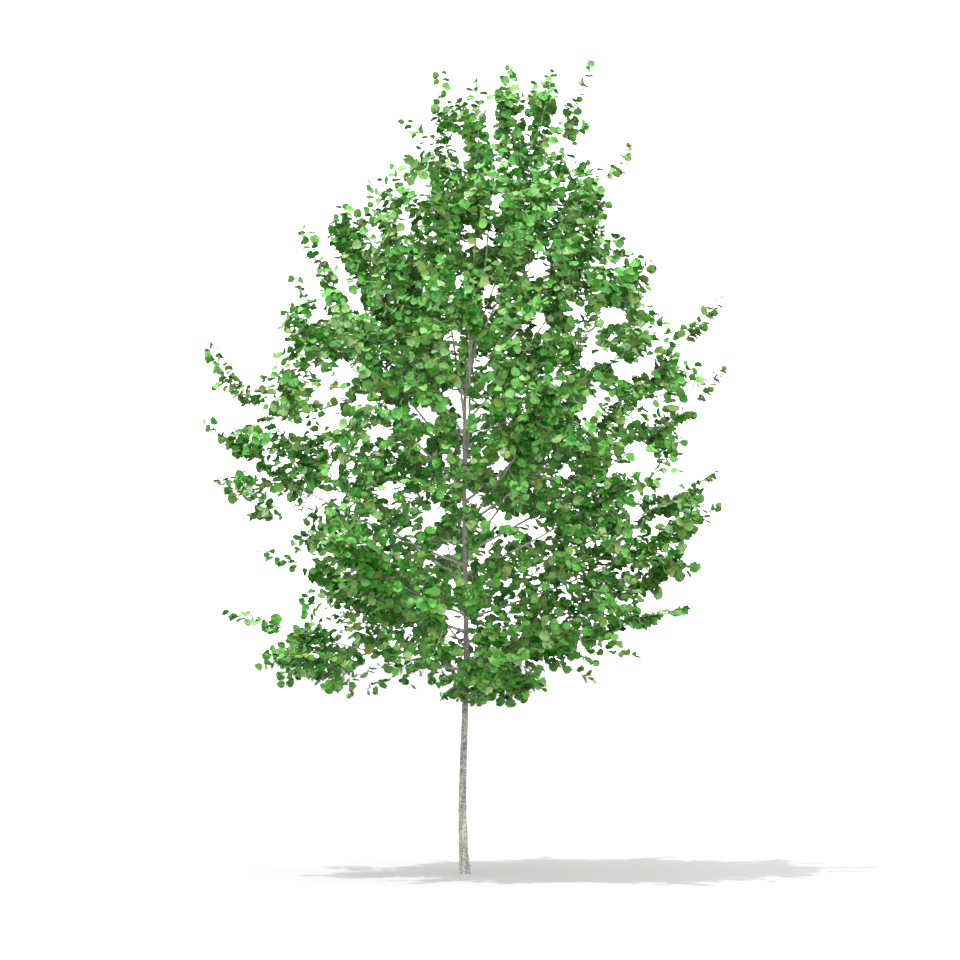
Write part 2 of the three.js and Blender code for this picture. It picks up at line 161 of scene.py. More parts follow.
def linear(red, green, blue):
    """A colour given as the eye reads it, from 0 to 255, as the light that a material sends back."""
    share = np.array([red, green, blue]) / 255
    light = np.where(share <= 0.04045, share / 12.92, ((share + 0.055) / 1.055) ** 2.4)
    return (*light, 1.0)


def add_node(tree, kind, **inputs):
    """One shader node, with plain values on the inputs that are named, underscores standing for spaces."""
    node = tree.nodes.new(kind)
    for name, value in inputs.items():
        node.inputs[name.replace("_", " ")].default_value = value
    return node


def stretched_noise(tree, stretch, scale, detail):
    """Noise on Object coordinates, drawn out along an axis whose stretch is small."""
    place = add_node(tree, "ShaderNodeTexCoord")
    mapping = add_node(tree, "ShaderNodeMapping", Scale=stretch)
    noise = add_node(tree, "ShaderNodeTexNoise", Scale=scale, Detail=detail, Roughness=NOISE_ROUGHNESS)
    tree.links.new(place.outputs["Object"], mapping.inputs["Vector"])
    tree.links.new(mapping.outputs["Vector"], noise.inputs["Vector"])
    return noise.outputs["Fac"]


def range_of(tree, source, low, high, to_low=0, to_high=1):
    """Goes from to_low to to_high while a value goes from low to high, and stays there past either."""
    node = add_node(tree, "ShaderNodeMapRange", From_Min=low, From_Max=high, To_Min=to_low, To_Max=to_high)
    tree.links.new(source, node.inputs["Value"])
    return node.outputs["Result"]


def math_of(tree, operation, first, second=0):
    """A math node on two values, each a socket or a plain number."""
    node = add_node(tree, "ShaderNodeMath")
    node.operation = operation
    for socket, value in zip(node.inputs, (first, second)):
        if isinstance(value, (int, float)):
            socket.default_value = value
        else:
            tree.links.new(value, socket)
    return node.outputs["Value"]


def colour_mix(tree, share, first, second):
    """Goes from the first colour to the second by a share. The node's colour sockets go by number."""
    node = add_node(tree, "ShaderNodeMix")
    node.data_type = "RGBA"
    tree.links.new(share, node.inputs["Factor"])
    tree.links.new(first, node.inputs[6])
    tree.links.new(second, node.inputs[7])
    return node.outputs[2]


def bark_marks(tree, stretch, scale, detail, low, high):
    """Marks that show where a drawn-out noise goes from low to high."""
    return range_of(tree, stretched_noise(tree, stretch, scale, detail), low, high)


def bark_group():
    """Bark: pale, with dark streaks along the stem and marks across them, and corky dashes, the lenticels.

    The dark marks fade with height: painted light that makes the bark paler up in the crown, against its
    shade.
    """
    tree = bpy.data.node_groups.new("alder_bark", "ShaderNodeTree")
    for name in ("Pale", "Dark", "Cork"):
        tree.interface.new_socket(name, in_out="INPUT", socket_type="NodeSocketColor")
    tree.interface.new_socket("Lenticels", in_out="INPUT", socket_type="NodeSocketFloat")
    for name, kind in (("Color", "Color"), ("Roughness", "Float"), ("Height", "Float")):
        tree.interface.new_socket(name, in_out="OUTPUT", socket_type="NodeSocket" + kind)
    given = add_node(tree, "NodeGroupInput")
    result = add_node(tree, "NodeGroupOutput")
    blend = add_node(tree, "ShaderNodeMix", Factor=CROSS_MARK_SHARE)
    tree.links.new(bark_marks(tree, **BARK_STREAKS), blend.inputs["A"])
    tree.links.new(bark_marks(tree, **BARK_CROSS_MARKS), blend.inputs["B"])
    place = add_node(tree, "ShaderNodeTexCoord")
    parts = add_node(tree, "ShaderNodeSeparateXYZ")
    tree.links.new(place.outputs["Object"], parts.inputs["Vector"])
    # Painted light: the bark pales with height, against the shade of the crown.
    painted_light_fade = range_of(tree, parts.outputs["Z"], *PAINTED_LIGHT_HEIGHTS, 1, PAINTED_LIGHT_DARK_SHARE)
    shade = math_of(tree, "MULTIPLY", blend.outputs["Result"], painted_light_fade)
    marks = math_of(tree, "MULTIPLY", bark_marks(tree, **BARK_DASHES), given.outputs["Lenticels"])
    tone = colour_mix(tree, shade, given.outputs["Pale"], given.outputs["Dark"])
    tree.links.new(colour_mix(tree, marks, tone, given.outputs["Cork"]), result.inputs["Color"])
    tree.links.new(range_of(tree, shade, 0, 1, *BARK_ROUGHNESS), result.inputs["Roughness"])
    tree.links.new(math_of(tree, "SUBTRACT", marks, shade), result.inputs["Height"])
    return tree


bark_pattern = bark_group()


def bark_material(name, pale, dark, cork, lenticels, relief):
    """The bark pattern in one part's own colours, with its height as a fine relief in metres."""
    material = bpy.data.materials.new(name)
    material.use_nodes = True
    tree = material.node_tree
    shader = tree.nodes["Principled BSDF"]
    shader.inputs["Specular IOR Level"].default_value = BARK_SHINE
    pattern = add_node(tree, "ShaderNodeGroup")
    pattern.node_tree = bark_pattern
    pattern.inputs["Pale"].default_value = linear(*pale)
    pattern.inputs["Dark"].default_value = linear(*dark)
    pattern.inputs["Cork"].default_value = linear(*cork)
    pattern.inputs["Lenticels"].default_value = lenticels
    bump = add_node(tree, "ShaderNodeBump", Strength=BARK_BUMP, Distance=relief)
    tree.links.new(pattern.outputs["Color"], shader.inputs["Base Color"])
    tree.links.new(pattern.outputs["Roughness"], shader.inputs["Roughness"])
    tree.links.new(pattern.outputs["Height"], bump.inputs["Height"])
    tree.links.new(bump.outputs["Normal"], shader.inputs["Normal"])
    return material


def trunk_points():
    """Rings about the trunk's axis, of its radius, root lobes and ridges, closer together near the foot."""
    rise = np.linspace(0, 1, TRUNK_RINGS)[:, None] ** TRUNK_RING_POWER * TRUNK_LENGTH
    turn = np.arange(TRUNK_SIDES)[None, :] * TAU / TRUNK_SIDES
    flare = ROOT_FLARE * (1 + ROOT_LOBE_DEPTH * np.cos(ROOT_LOBES * turn))
    lobes = flare * np.exp(-rise / ROOT_FLARE_HEIGHT)
    girth = trunk_radius(rise)
    ridges = RIDGE_HEIGHT * bark_ridges(turn, rise, TRUNK_RIDGE_SEED) * girth / STEM_RADIUS
    radius = girth + lobes + ridges
    level = np.stack([np.cos(turn), -np.sin(turn), 0 * turn], axis=-1)
    return trunk_axis(rise) + radius[..., None] * level


trunk_bark = bark_material("trunk_bark", **TRUNK_BARK)
trunk = make_piece("trunk_with_bark", trunk_points().reshape(-1, 3), ring_faces(1, TRUNK_RINGS, TRUNK_SIDES),
                   [trunk_bark])
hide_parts("trunk")


# The boughs: ascending limbs that leave the trunk almost level and turn up to the tips of the crown, each a
# single taper of grey wood with a collar at the trunk. The lesser leader and the leader's end are topmost.
CROWN_FOOT = 1.1
CROWN_FOOT_REACH = 0.55
CROWN_REACH = 1.65
CROWN_WAIST = 2.9
CROWN_POWER = 2.2
CROWN_SHOULDER = 3.3
CROWN_TOP_REACH = 0.48
CROWN_TOP_LEAN = 0.3
# Where each side bough leaves the trunk, how far out its tip is, and how high.
LEFT_BOUGHS = [
    (1.29, 1.44, 1.66), (1.54, 1.215, 2.055), (1.68, 1.535, 2.445), (1.96, 1.65, 2.86), (1.85, 1.65, 3.33),
    (2.45, 1.135, 3.865), (2.6, 1.075, 4.16), (2.8, 0.92, 4.345), (3.05, 0.615, 4.495), (3.42, 0.18, 5.165),
]
RIGHT_BOUGHS = [
    (1.33, 1.375, 1.71), (1.47, 1.485, 2.0), (1.62, 1.615, 2.32), (1.8, 1.605, 2.575), (2.04, 1.645, 3.195),
    (2.22, 1.665, 3.71), (2.705, 1.17, 3.885), (2.87, 0.96, 4.335), (3.11, 1.07, 4.7), (3.36, 0.785, 5.145),
    (3.48, 0.563, 5.152),
]
SIDE_SPREAD = 36
SIDE_DEPTH = 0.9
FILL_BOUGHS = 16
FILL_LOWEST = 1.16
FILL_HIGHEST = 3.08
FILL_SPREAD = 110
FILL_TURN = 315
FILL_REACH = 0.99
FILL_POWER = 1.5
LEAST_RISE = 0.03
RISE_PER_HEIGHT = 0.885
LESSER_FOOT = FORK_HEIGHT + FORK_LENGTH / 4
LESSER_TIP = (0.096, -0.16, 5.04)
LEADER_TIP_X = 0.256
BOUGH_RADIUS = 0.0046
BOUGH_RADIUS_PER_LENGTH = 0.0026
BOUGH_FIT = 0.8
BOUGH_TAPER = 1.25
BOUGH_SWING = 8
BEND_OUT = 0.55
BEND_UP = 0.4
TIP_RADIUS = 0.0022
TIP_SPRAY = 0.172
BARE_SHARE = 0.3
BARE_LENGTH = 0.25
HIGHEST_BOUGH = 2.2
GOLDEN_ANGLE = 137.508
BOUGH_SIDES = 12
BOUGH_RINGS = 44
COLLAR = 0.35
COLLAR_LENGTH = 0.028
BOUGH_RING_POWER = 1.15
BOUGH_RIDGE_SHARE = 0.07
BOUGH_RIDGE_SEED = 5
BOUGH_BARK = dict(pale=(182, 176, 172), dark=(112, 104, 104), cork=(82, 76, 76), lenticels=0.5,
                  relief=0.0008)
LENGTH_STOPS = 201
STEEP_COSINE = 0.9
SIDE_ORDER = 20
DEPTH_KEY = 5
FILL_ORDER = 60
TOP_ORDER = 90
LESSER_ORDER = 91
CHANCE_WEIGHTS = (12.9898, 78.233, 37.719, 93.989)
CHANCE_SCALE = 43758.5453


def chance(*keys):
    """A seeded number from 0 to 1: the fraction left of a large sine of the keys' weighted sum."""
    wave = np.sin(sum((key + 1) * weight for key, weight in zip(keys, CHANCE_WEIGHTS))) * CHANCE_SCALE
    return wave - np.floor(wave)


def around(spread, *keys):
    """A seeded number from minus spread to spread."""
    return (chance(*keys) * 2 - 1) * spread


def crown_reach(z):
    """The crown's reach at a height: a power curve below the waist, a straight taper above the shoulder."""
    if z > CROWN_SHOULDER:
        return mix(CROWN_REACH, CROWN_TOP_REACH, (z - CROWN_SHOULDER) / (TREE_HEIGHT - CROWN_SHOULDER))
    below = max(0, (CROWN_WAIST - z) / (CROWN_WAIST - CROWN_FOOT))
    return mix(CROWN_REACH, CROWN_FOOT_REACH, below ** CROWN_POWER)


def curve_point(control, t):
    """Quadratic curves: (1 - t) squared of the start, 2 t (1 - t) of the bend and t squared of the end."""
    start, bend, end = (control[..., None, i, :] for i in range(3))
    t = np.asarray(t)[..., None]
    return (1 - t) ** 2 * start + 2 * t * (1 - t) * bend + t ** 2 * end


def curve_direction(control, t):
    """The course of these curves: 1 - t of the way to the bend and t of the way on, as a unit vector."""
    start, bend, end = (control[..., None, i, :] for i in range(3))
    t = np.asarray(t)[..., None]
    return unit((1 - t) * (bend - start) + t * (end - bend))


def curve_length(control):
    """The sum of the straight steps between close stops on each curve."""
    stops = curve_point(control, np.linspace(0, 1, LENGTH_STOPS))
    return np.linalg.norm(np.diff(stops, axis=-2), axis=-1).sum(axis=-1)


def bough_curve(order, foot, tip):
    """From the trunk's axis: the bend is a share of the way out, swung a little, and a share of the rise."""
    start = trunk_axis(foot)
    swing = np.radians(around(BOUGH_SWING, order, 1))
    x, y, rise = np.array(tip) - start
    out = np.array([x * np.cos(swing) - y * np.sin(swing), x * np.sin(swing) + y * np.cos(swing), 0])
    bend = start + BEND_OUT * out + BEND_UP * rise * UP
    return np.array([start, bend, tip - TIP_SPRAY * unit(tip - bend)])


def side_bough(side, sign, sizes, i):
    """A left or right bough: its sizes in the front view, and a depth by the tangent of a seeded angle."""
    foot, reach, top = sizes
    depth = np.tan(np.radians(around(SIDE_SPREAD, i, sign + DEPTH_KEY))) * SIDE_DEPTH
    tip = np.array([sign * reach, depth * min(1, reach / SIDE_DEPTH), top])
    return f"{side}_{i + 1}", sign * SIDE_ORDER + i, foot, tip


def fill_bough(i):
    """A bough of the front or back, by golden angle, the crown's reach and a rise that grows with height."""
    side = "back" if i % 2 else "front"
    foot = mix(FILL_LOWEST, FILL_HIGHEST, (i / (FILL_BOUGHS - 1)) ** FILL_POWER)
    top = foot + LEAST_RISE + RISE_PER_HEIGHT * (foot - CROWN_FOOT)
    turn = (i * GOLDEN_ANGLE + FILL_TURN) / 360 % 1 - 0.5
    heading = np.radians((90 if i % 2 else -90) + turn * FILL_SPREAD)
    lean = CROWN_TOP_LEAN * max(0, (top - CROWN_SHOULDER) / (TREE_HEIGHT - CROWN_SHOULDER))
    reach = crown_reach(top) * FILL_REACH
    tip = np.array([np.cos(heading) * reach + lean, np.sin(heading) * reach, top])
    return f"{side}_{i // 2 + 1}", FILL_ORDER + i, foot, tip


def limb_points(paths, radii, level):
    """Rings of each limb's radius across its path, in a frame that is level to the side of it."""
    sides = radii.shape[2]
    along = unit(np.gradient(paths, axis=1))
    side = unit(np.cross(along, level[:, None]))
    lift = np.cross(side, along)
    turn = np.arange(sides)[:, None] * TAU / sides
    ring = np.cos(turn) * side[:, :, None] + np.sin(turn) * lift[:, :, None]
    return paths[:, :, None] + radii[..., None] * ring


def reference(along):
    """The direction that a limb's frame is levelled by: up, or the front for a steep limb."""
    return np.where(np.abs(along[..., 2:]) > STEEP_COSINE, FRONT, UP)


grown = [side_bough("left", -1, sizes, i) for i, sizes in enumerate(LEFT_BOUGHS)]
grown += [side_bough("right", 1, sizes, i) for i, sizes in enumerate(RIGHT_BOUGHS)]
grown += [fill_bough(i) for i in range(FILL_BOUGHS)]
grown.append(("lesser_leader", LESSER_ORDER, LESSER_FOOT, np.array(LESSER_TIP)))
leader_foot = trunk_axis(TRUNK_LENGTH)
leader_end = np.array([LEADER_TIP_X, 0, TREE_HEIGHT - TIP_SPRAY])
leader_bend = np.array([*leader_foot[:2], (leader_foot[2] + leader_end[2]) / 2])

bough_names = [name for name, *_ in grown] + ["top"]
bough_orders = np.array([order for _, order, *_ in grown] + [TOP_ORDER])
bough_feet = np.array([foot for _, _, foot, _ in grown] + [TRUNK_LENGTH])
bough_curves = np.array([bough_curve(order, foot, tip) for _, order, foot, tip in grown]
                        + [np.array([leader_foot, leader_bend, leader_end])])
bough_lengths = curve_length(bough_curves)
bough_bases = np.minimum(BOUGH_RADIUS + BOUGH_RADIUS_PER_LENGTH * bough_lengths,
                         BOUGH_FIT * trunk_radius(bough_feet))
bough_bases[-1] = trunk_radius(TRUNK_LENGTH)
is_limb = bough_feet < HIGHEST_BOUGH
bare_share = np.where(is_limb, np.minimum(BARE_SHARE, BARE_LENGTH / bough_lengths), 0)


def bough_radius(bough, t):
    """The taper of a bough: a power of what is left of it, from its base to the radius of its tip."""
    return mix(TIP_RADIUS, bough_bases[bough], (1 - t) ** BOUGH_TAPER)


def bough_points():
    """Tapering limbs along the bough curves, with bark ridges and a collar where they leave the trunk."""
    t = np.broadcast_to(np.linspace(0, 1, BOUGH_RINGS) ** BOUGH_RING_POWER, (len(bough_names), BOUGH_RINGS))
    which = np.arange(len(bough_names))[:, None]
    paths = curve_point(bough_curves, t)
    clear = np.maximum(0, t * bough_lengths[:, None] - trunk_radius(bough_feet)[:, None])
    collar = 1 + COLLAR * np.exp(-clear / COLLAR_LENGTH) * (which < len(bough_names) - 1)
    radius = bough_radius(which, t) * collar
    turn = np.arange(BOUGH_SIDES) * TAU / BOUGH_SIDES
    distance = (t * bough_lengths[:, None])[..., None] + which[..., None]
    ridges = 1 + BOUGH_RIDGE_SHARE * bark_ridges(turn, distance, BOUGH_RIDGE_SEED)
    level = reference(unit(bough_curves[:, 2] - bough_curves[:, 0]))
    return limb_points(paths, radius[..., None] * ridges, level)


bough_bark = bark_material("bough_bark", **BOUGH_BARK)
boughs = make_piece("boughs_with_bark", bough_points().reshape(-1, 3),
                    ring_faces(len(bough_names), BOUGH_RINGS, BOUGH_SIDES), [bough_bark])
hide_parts(*[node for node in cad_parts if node.startswith("bough_")])


# The twigs: side twigs that turn round each bough by the golden angle, finer twigs all along it and more to
# the crown's empty places, and the shoots that carry the leaves. Grey-mauve young wood, grown from the bough
# without a joint. None ends where sky shows through the crown from the front.
CROWN_FLOOR = 1.045
FLOOR_RISE = 0.6
FLOOR_TILT = 0.1
TWIG_PITCH = 0.29
LEAST_TWIGS = 4
TWIG_TRIES = 4
TWIG_LENGTH = 0.29
TWIG_SHARE = 0.2
TWIG_ANGLE = 54
TWIG_ANGLE_JITTER = 10
TWIG_TURN = 20
TWIG_SHORTENING = 0.72
LOW_TWIG_RISE = -0.2
HIGH_TWIG_RISE = 0.25
RISE_HEIGHT = 2.6
TWIG_RADIUS = 0.0042
TWIG_TIP = 0.0012
TWIG_FIT = 0.6
TWIG_BOW = 0.07
TIP_TWIG = 0.36
FIRST_TWIG = 0.1
TWIG_OFFSET = 0.35
TWIG_SPARE = 0.6
TWIG_TESTS = (0.4, 0.6, 0.8, 1)
SHORTER_FROM = 0.4
SPRAY_LENGTH = 0.375
SPRAY_WIDTH = 0.84
SPRAY_PITCH = 0.15
SPRAY_TRIES = 4
SPRAY_SPACING = 0.43
SPRAY_SPREAD = 0.75
LAST_SPRAY_SPREAD = 0.15
SPRAY_DROOP = 0.15
SPRAY_FORWARD = 0.7
SPRAY_CORNERS = [(0.48, -0.5), (0.95, -0.22), (0.95, 0.22), (0.48, 0.5)]
SPRAY_KEYS = 12
TIP_SPRAY_SIZE = 0.55
LAST_SPRAY = 0.985
FIRST_SPRAY = 0.3
EDGE_TURN = 2.4
FACE_LIFT = 0.36
FACE_JITTER = 0.3
SIZE_JITTER = 0.15
RETRY_TURN = 101
RETRY_SIZE = 0.93
SPACE_MARGIN = 0.006
LIMB_MARGIN = 0.018
STEM_STOPS = 16
TRUNK_STOPS = 60
LEAST_SQUARE = 1e-12
SHOOT_REACH = 0.95
TIP_SHOOT = 0.45
SHOOT_FORWARD = 0.45
LOW_SHOOT_RISE = -0.05
HIGH_SHOOT_RISE = 0.35
SHOOT_RADIUS = 0.0015
SHOOT_TIP = 0.0007
TWIG_RINGS = 14
TWIG_SIDES = 6
SHOOT_RINGS = 7
SHOOT_SIDES = 4
TWIG_BARK = dict(pale=(158, 146, 146), dark=(108, 96, 98), cork=(176, 166, 160), lenticels=0.4,
                 relief=0.0003)
SHOOT_BARK = dict(pale=(126, 136, 92), dark=(98, 104, 74), cork=(150, 146, 116), lenticels=0.3,
                  relief=0.0002)
FINE_PITCH = 0.036
FINE_FIRST = 0.12
FINE_LAST = 0.97
FINE_LENGTH = 0.52
FINE_TAPER = 1.15
FINE_ANGLE = 40
FINE_TURN = 40
FINE_JITTER = 0.25
FINE_SPACING = 0.085
FINE_CROWDING = 0.75
FINE_MARGIN = 0.05
INFILL_PLACES = 6000
INFILL_TWIGS = 900
INFILL_FIRST = 0.1
INFILL_LAST = 0.96
INFILL_SHARE = 0.3
INFILL_TAPER = 1.1
INFILL_INSIDE = 0.77
INFILL_TOP = 4.5
INFILL_DEPTH = 0.3
INFILL_LONGEST = 0.75
INFILL_LEAN = 0.7
INFILL_LEAN_COST = 1.5
INFILL_LEAFY = 0.3
INFILL_END = 0.2
INFILL_END_SHARE = 0.5
INFILL_SEED = 5
SHOOT_TESTS = (0.35, 0.7, 1)
FIRST_ROOT = 0.1
LAST_ROOT = 0.95
ROOT_STOPS = 40
VIEW_PLACE = (0.096, -24.0, 1.5)
# Ellipses of the front view where sky shows through: middle x and z, half width and half height.
SKY_GAPS = [
    (-0.3, 1.13, 0.14, 0.07), (-0.67, 1.2, 0.05, 0.1), (0.68, 1.23, 0.1, 0.1), (-0.28, 1.23, 0.07, 0.06),
    (-0.63, 1.34, 0.05, 0.08), (1.05, 1.5, 0.09, 0.08), (-0.08, 1.58, 0.08, 0.13),
    (-1.15, 1.58, 0.06, 0.09), (-1.19, 1.8, 0.14, 0.2), (-1.02, 1.96, 0.09, 0.08),
    (0.14, 2.05, 0.05, 0.06), (-0.12, 2.05, 0.09, 0.06), (0.48, 2.15, 0.09, 0.08),
    (-0.36, 2.17, 0.1, 0.04), (-1.18, 2.21, 0.22, 0.1), (-0.61, 2.23, 0.07, 0.05), (0.36, 2.25, 0.1, 0.08),
    (0.18, 2.26, 0.1, 0.09), (-0.21, 2.27, 0.1, 0.08), (1.08, 2.3, 0.06, 0.07), (-1.38, 2.34, 0.1, 0.06),
    (-0.97, 2.37, 0.07, 0.06), (-0.88, 2.4, 0.18, 0.06), (0.05, 2.4, 0.06, 0.06),
    (-0.49, 2.45, 0.07, 0.08), (1.33, 2.45, 0.06, 0.08), (0.65, 2.55, 0.07, 0.05),
    (-0.84, 2.57, 0.05, 0.08), (1.1, 2.6, 0.14, 0.11), (-1.36, 2.6, 0.1, 0.05), (0.23, 2.6, 0.06, 0.08),
    (1.52, 2.68, 0.12, 0.13), (1.1, 2.69, 0.11, 0.07), (-0.25, 2.74, 0.06, 0.08), (-0.54, 2.8, 0.1, 0.05),
    (-1.1, 2.85, 0.22, 0.06), (-0.86, 2.88, 0.11, 0.06), (-1.32, 2.94, 0.1, 0.05),
    (-0.27, 2.95, 0.09, 0.08), (1.43, 2.98, 0.1, 0.05), (-0.65, 3.01, 0.08, 0.09),
    (-0.05, 3.02, 0.08, 0.09), (-1.52, 3.03, 0.08, 0.08), (-0.86, 3.05, 0.1, 0.06),
    (0.84, 3.05, 0.04, 0.12), (1.45, 3.07, 0.06, 0.08), (0.58, 3.2, 0.05, 0.08), (-0.76, 3.21, 0.12, 0.08),
    (1.0, 3.24, 0.08, 0.1), (1.19, 3.25, 0.08, 0.05), (0.11, 3.26, 0.08, 0.06), (0.9, 3.31, 0.1, 0.05),
    (1.43, 3.36, 0.1, 0.07), (0.81, 3.4, 0.06, 0.12), (-0.06, 3.43, 0.06, 0.08), (0.48, 3.5, 0.05, 0.1),
    (-0.97, 3.55, 0.08, 0.06), (0.94, 3.57, 0.09, 0.08), (0.72, 3.6, 0.07, 0.06), (1.36, 3.63, 0.07, 0.07),
    (-0.69, 3.67, 0.045, 0.07), (0.17, 3.71, 0.06, 0.08), (-1.14, 3.72, 0.05, 0.07),
    (-0.05, 3.78, 0.06, 0.07), (-0.96, 3.8, 0.06, 0.08), (-0.78, 3.83, 0.045, 0.07),
    (0.46, 3.88, 0.1, 0.1), (-1.09, 3.98, 0.06, 0.09), (0.0, 4.02, 0.05, 0.06), (0.1, 4.04, 0.1, 0.05),
    (0.03, 4.12, 0.05, 0.05), (-0.38, 4.15, 0.04, 0.08), (0.2, 4.28, 0.05, 0.1), (-0.97, 4.28, 0.09, 0.08),
    (0.94, 4.36, 0.06, 0.12), (-0.7, 4.38, 0.09, 0.1), (-0.3, 4.39, 0.08, 0.07), (0.85, 4.65, 0.1, 0.08),
    (0.63, 4.66, 0.05, 0.07), (-0.05, 4.66, 0.04, 0.05), (0.17, 4.86, 0.05, 0.16), (0.9, 4.95, 0.14, 0.14),
    (0.39, 5.03, 0.04, 0.07), (-0.34, 5.04, 0.09, 0.1), (-0.03, 5.07, 0.04, 0.07),
]
# Heights between which the trunk shows through from the front.
TRUNK_IN_VIEW = [(1.36, 1.64), (1.86, 2.03), (2.1, 2.22), (2.29, 2.45), (2.57, 3.36)]
TRUNK_CLEAR = 0.035
# Ellipses of the front view, given in the same way, where the crown is fuller.
LEAFY_PLACES = [
    (-1.0, 1.33, 0.22, 0.13), (-1.22, 1.37, 0.09, 0.06), (-0.68, 1.59, 0.1, 0.08), (0.14, 1.6, 0.14, 0.07),
    (0.89, 1.64, 0.11, 0.05), (0.4, 1.78, 0.22, 0.1), (0.95, 1.85, 0.14, 0.06), (0.22, 1.93, 0.08, 0.08),
    (1.3, 2.02, 0.1, 0.05), (1.45, 2.33, 0.09, 0.12), (-1.46, 2.5, 0.12, 0.05), (-0.42, 2.6, 0.1, 0.08),
    (1.33, 2.74, 0.09, 0.08), (-1.36, 2.8, 0.12, 0.08), (1.38, 3.17, 0.13, 0.09), (-1.1, 3.23, 0.1, 0.13),
    (1.12, 3.47, 0.07, 0.1), (-1.11, 3.52, 0.05, 0.12), (0.86, 3.8, 0.06, 0.08), (1.1, 3.82, 0.06, 0.16),
    (-0.66, 3.98, 0.05, 0.1), (-0.76, 4.2, 0.06, 0.1), (0.78, 4.45, 0.07, 0.1), (-0.3, 4.55, 0.08, 0.07),
    (0.22, 4.58, 0.08, 0.14), (0.34, 4.67, 0.1, 0.08), (-0.06, 4.84, 0.05, 0.12), (0.52, 5.0, 0.06, 0.12),
]
LEAFY_TRIES = 100
LEAFY_WEIGHT = 1.6
LEAFY_DEPTH = 0.1


def line_stops(from_share, to_share):
    """Even stops on each bough's curve between two shares of it."""
    share = mix(from_share[:, None], to_share[:, None], np.linspace(0, 1, STEM_STOPS))
    return curve_point(bough_curves, share)


stem_lines = line_stops(bare_share, np.ones(len(bough_names)))
limb_lines = line_stops(np.zeros(len(bough_names)), bare_share)[is_limb]
trunk_line = trunk_axis(np.linspace(0, TRUNK_LENGTH, TRUNK_STOPS))[None]


def distance_to(lines, places):
    """The least distance from each place to each line, over the straight pieces between the line's stops."""
    start = lines[:, :-1]
    step = lines[:, 1:] - start
    apart = places[:, None, None] - start
    share = (apart * step).sum(-1) / np.maximum((step * step).sum(-1), LEAST_SQUARE)
    gap = apart - np.clip(share, 0, 1)[..., None] * step
    return np.linalg.norm(gap, axis=-1).min(axis=-1)


def crown_floor(places):
    """The crown's underside rises with the cube of the distance outwards, and is tilted to the right."""
    reach = np.hypot(places[..., 0], places[..., 1]) / CROWN_REACH
    return CROWN_FLOOR + FLOOR_RISE * reach ** 3 + FLOOR_TILT * places[..., 0]


def clear_of_trunk(places, margin):
    """True for places farther from the trunk's axis than its radius there and a margin."""
    girth = trunk_radius(np.minimum(places[:, 2], TRUNK_LENGTH))
    return distance_to(trunk_line, places)[:, 0] > girth + margin


def in_own_space(bough, places):
    """True if all places are nearer to this stem than to any other, and clear of limbs, trunk and floor."""
    if (places[:, 2] < crown_floor(places)).any() or not clear_of_trunk(places, SPACE_MARGIN).all():
        return False
    if (distance_to(limb_lines, places) < LIMB_MARGIN).any():
        return False
    gaps = distance_to(stem_lines, places)
    own = gaps[:, bough].copy()
    gaps[:, bough] = np.inf
    return bool((gaps.min(axis=1) > own + SPACE_MARGIN).all())


def across(along):
    """A frame across a direction: one axis to the side of it, and one lifted towards its reference."""
    side = unit(np.cross(along, reference(along)))
    return side, unit(np.cross(side, along))


def flat_to(vectors, normals):
    """Vectors without their part along the normals, at unit length."""
    return unit(vectors - (vectors * normals).sum(-1, keepdims=True) * normals)


def bowed(start, tip, length):
    """A curve from start to tip whose bend hangs below the middle by a share of the length."""
    return np.array([start, (start + tip) / 2 - TWIG_BOW * length * UP, tip])


def make_twig(bough, k, share, attempt):
    """A side twig: the cosine of its angle along the stem, the sine across it, and a lift by its height."""
    order = bough_orders[bough]
    t = mix(bare_share[bough], 1, share)
    start = curve_point(bough_curves[bough], [t])[0]
    along = curve_direction(bough_curves[bough], [t])[0]
    side, lift = across(along)
    turn = np.radians(k * GOLDEN_ANGLE + attempt * RETRY_TURN + around(TWIG_TURN, order, k, 1))
    angle = np.radians(TWIG_ANGLE + around(TWIG_ANGLE_JITTER, order, k, 2))
    full = TWIG_LENGTH + TWIG_SHARE * bough_lengths[bough]
    size = (1 + around(SIZE_JITTER, order, k, 3)) * RETRY_SIZE ** attempt
    length = full * (1 - TWIG_SHORTENING * share) * size
    rise = mix(LOW_TWIG_RISE, HIGH_TWIG_RISE, smooth_step(start[2], CROWN_FOOT, RISE_HEIGHT))
    aside = np.cos(turn) * side + np.sin(turn) * lift
    tip = start + length * (np.cos(angle) * along + np.sin(angle) * aside + rise * UP)
    return bowed(start, tip, length)


def make_spray(root, along, side, last, size, keys):
    """A spray's root, axis, face and length, near its twig's plane, which faces along the crown's edge."""
    order, twig, j, attempt = keys
    edge = np.arctan2(root[1], root[0]) + np.pi / 2
    spin = edge + around(EDGE_TURN, order, twig) + np.radians(attempt * RETRY_TURN)
    plane = flat_to(np.array([np.cos(spin), np.sin(spin), FACE_LIFT]), along)
    outward = np.cross(plane, along) * side
    spread = LAST_SPRAY_SPREAD if last else SPRAY_SPREAD
    axis = unit(outward * spread + SPRAY_FORWARD * along - SPRAY_DROOP * UP)
    key = twig * SPRAY_KEYS + j
    face = flat_to(plane + around(FACE_JITTER, order, key, 1) * UP, axis)
    return root, axis, face, SPRAY_LENGTH * (1 + around(SIZE_JITTER, order, key, 2)) * size


def spray_outline(root, axis, face, length):
    """Corners and edge middles of a spray's blunt outline, which have to stay in the mass's space."""
    left = np.cross(face, axis)
    width = length * SPRAY_WIDTH
    ring = np.array([root + a * length * axis + b * width * left for a, b in SPRAY_CORNERS])
    return np.concatenate([ring, (ring + np.roll(ring, -1, axis=0)) / 2])


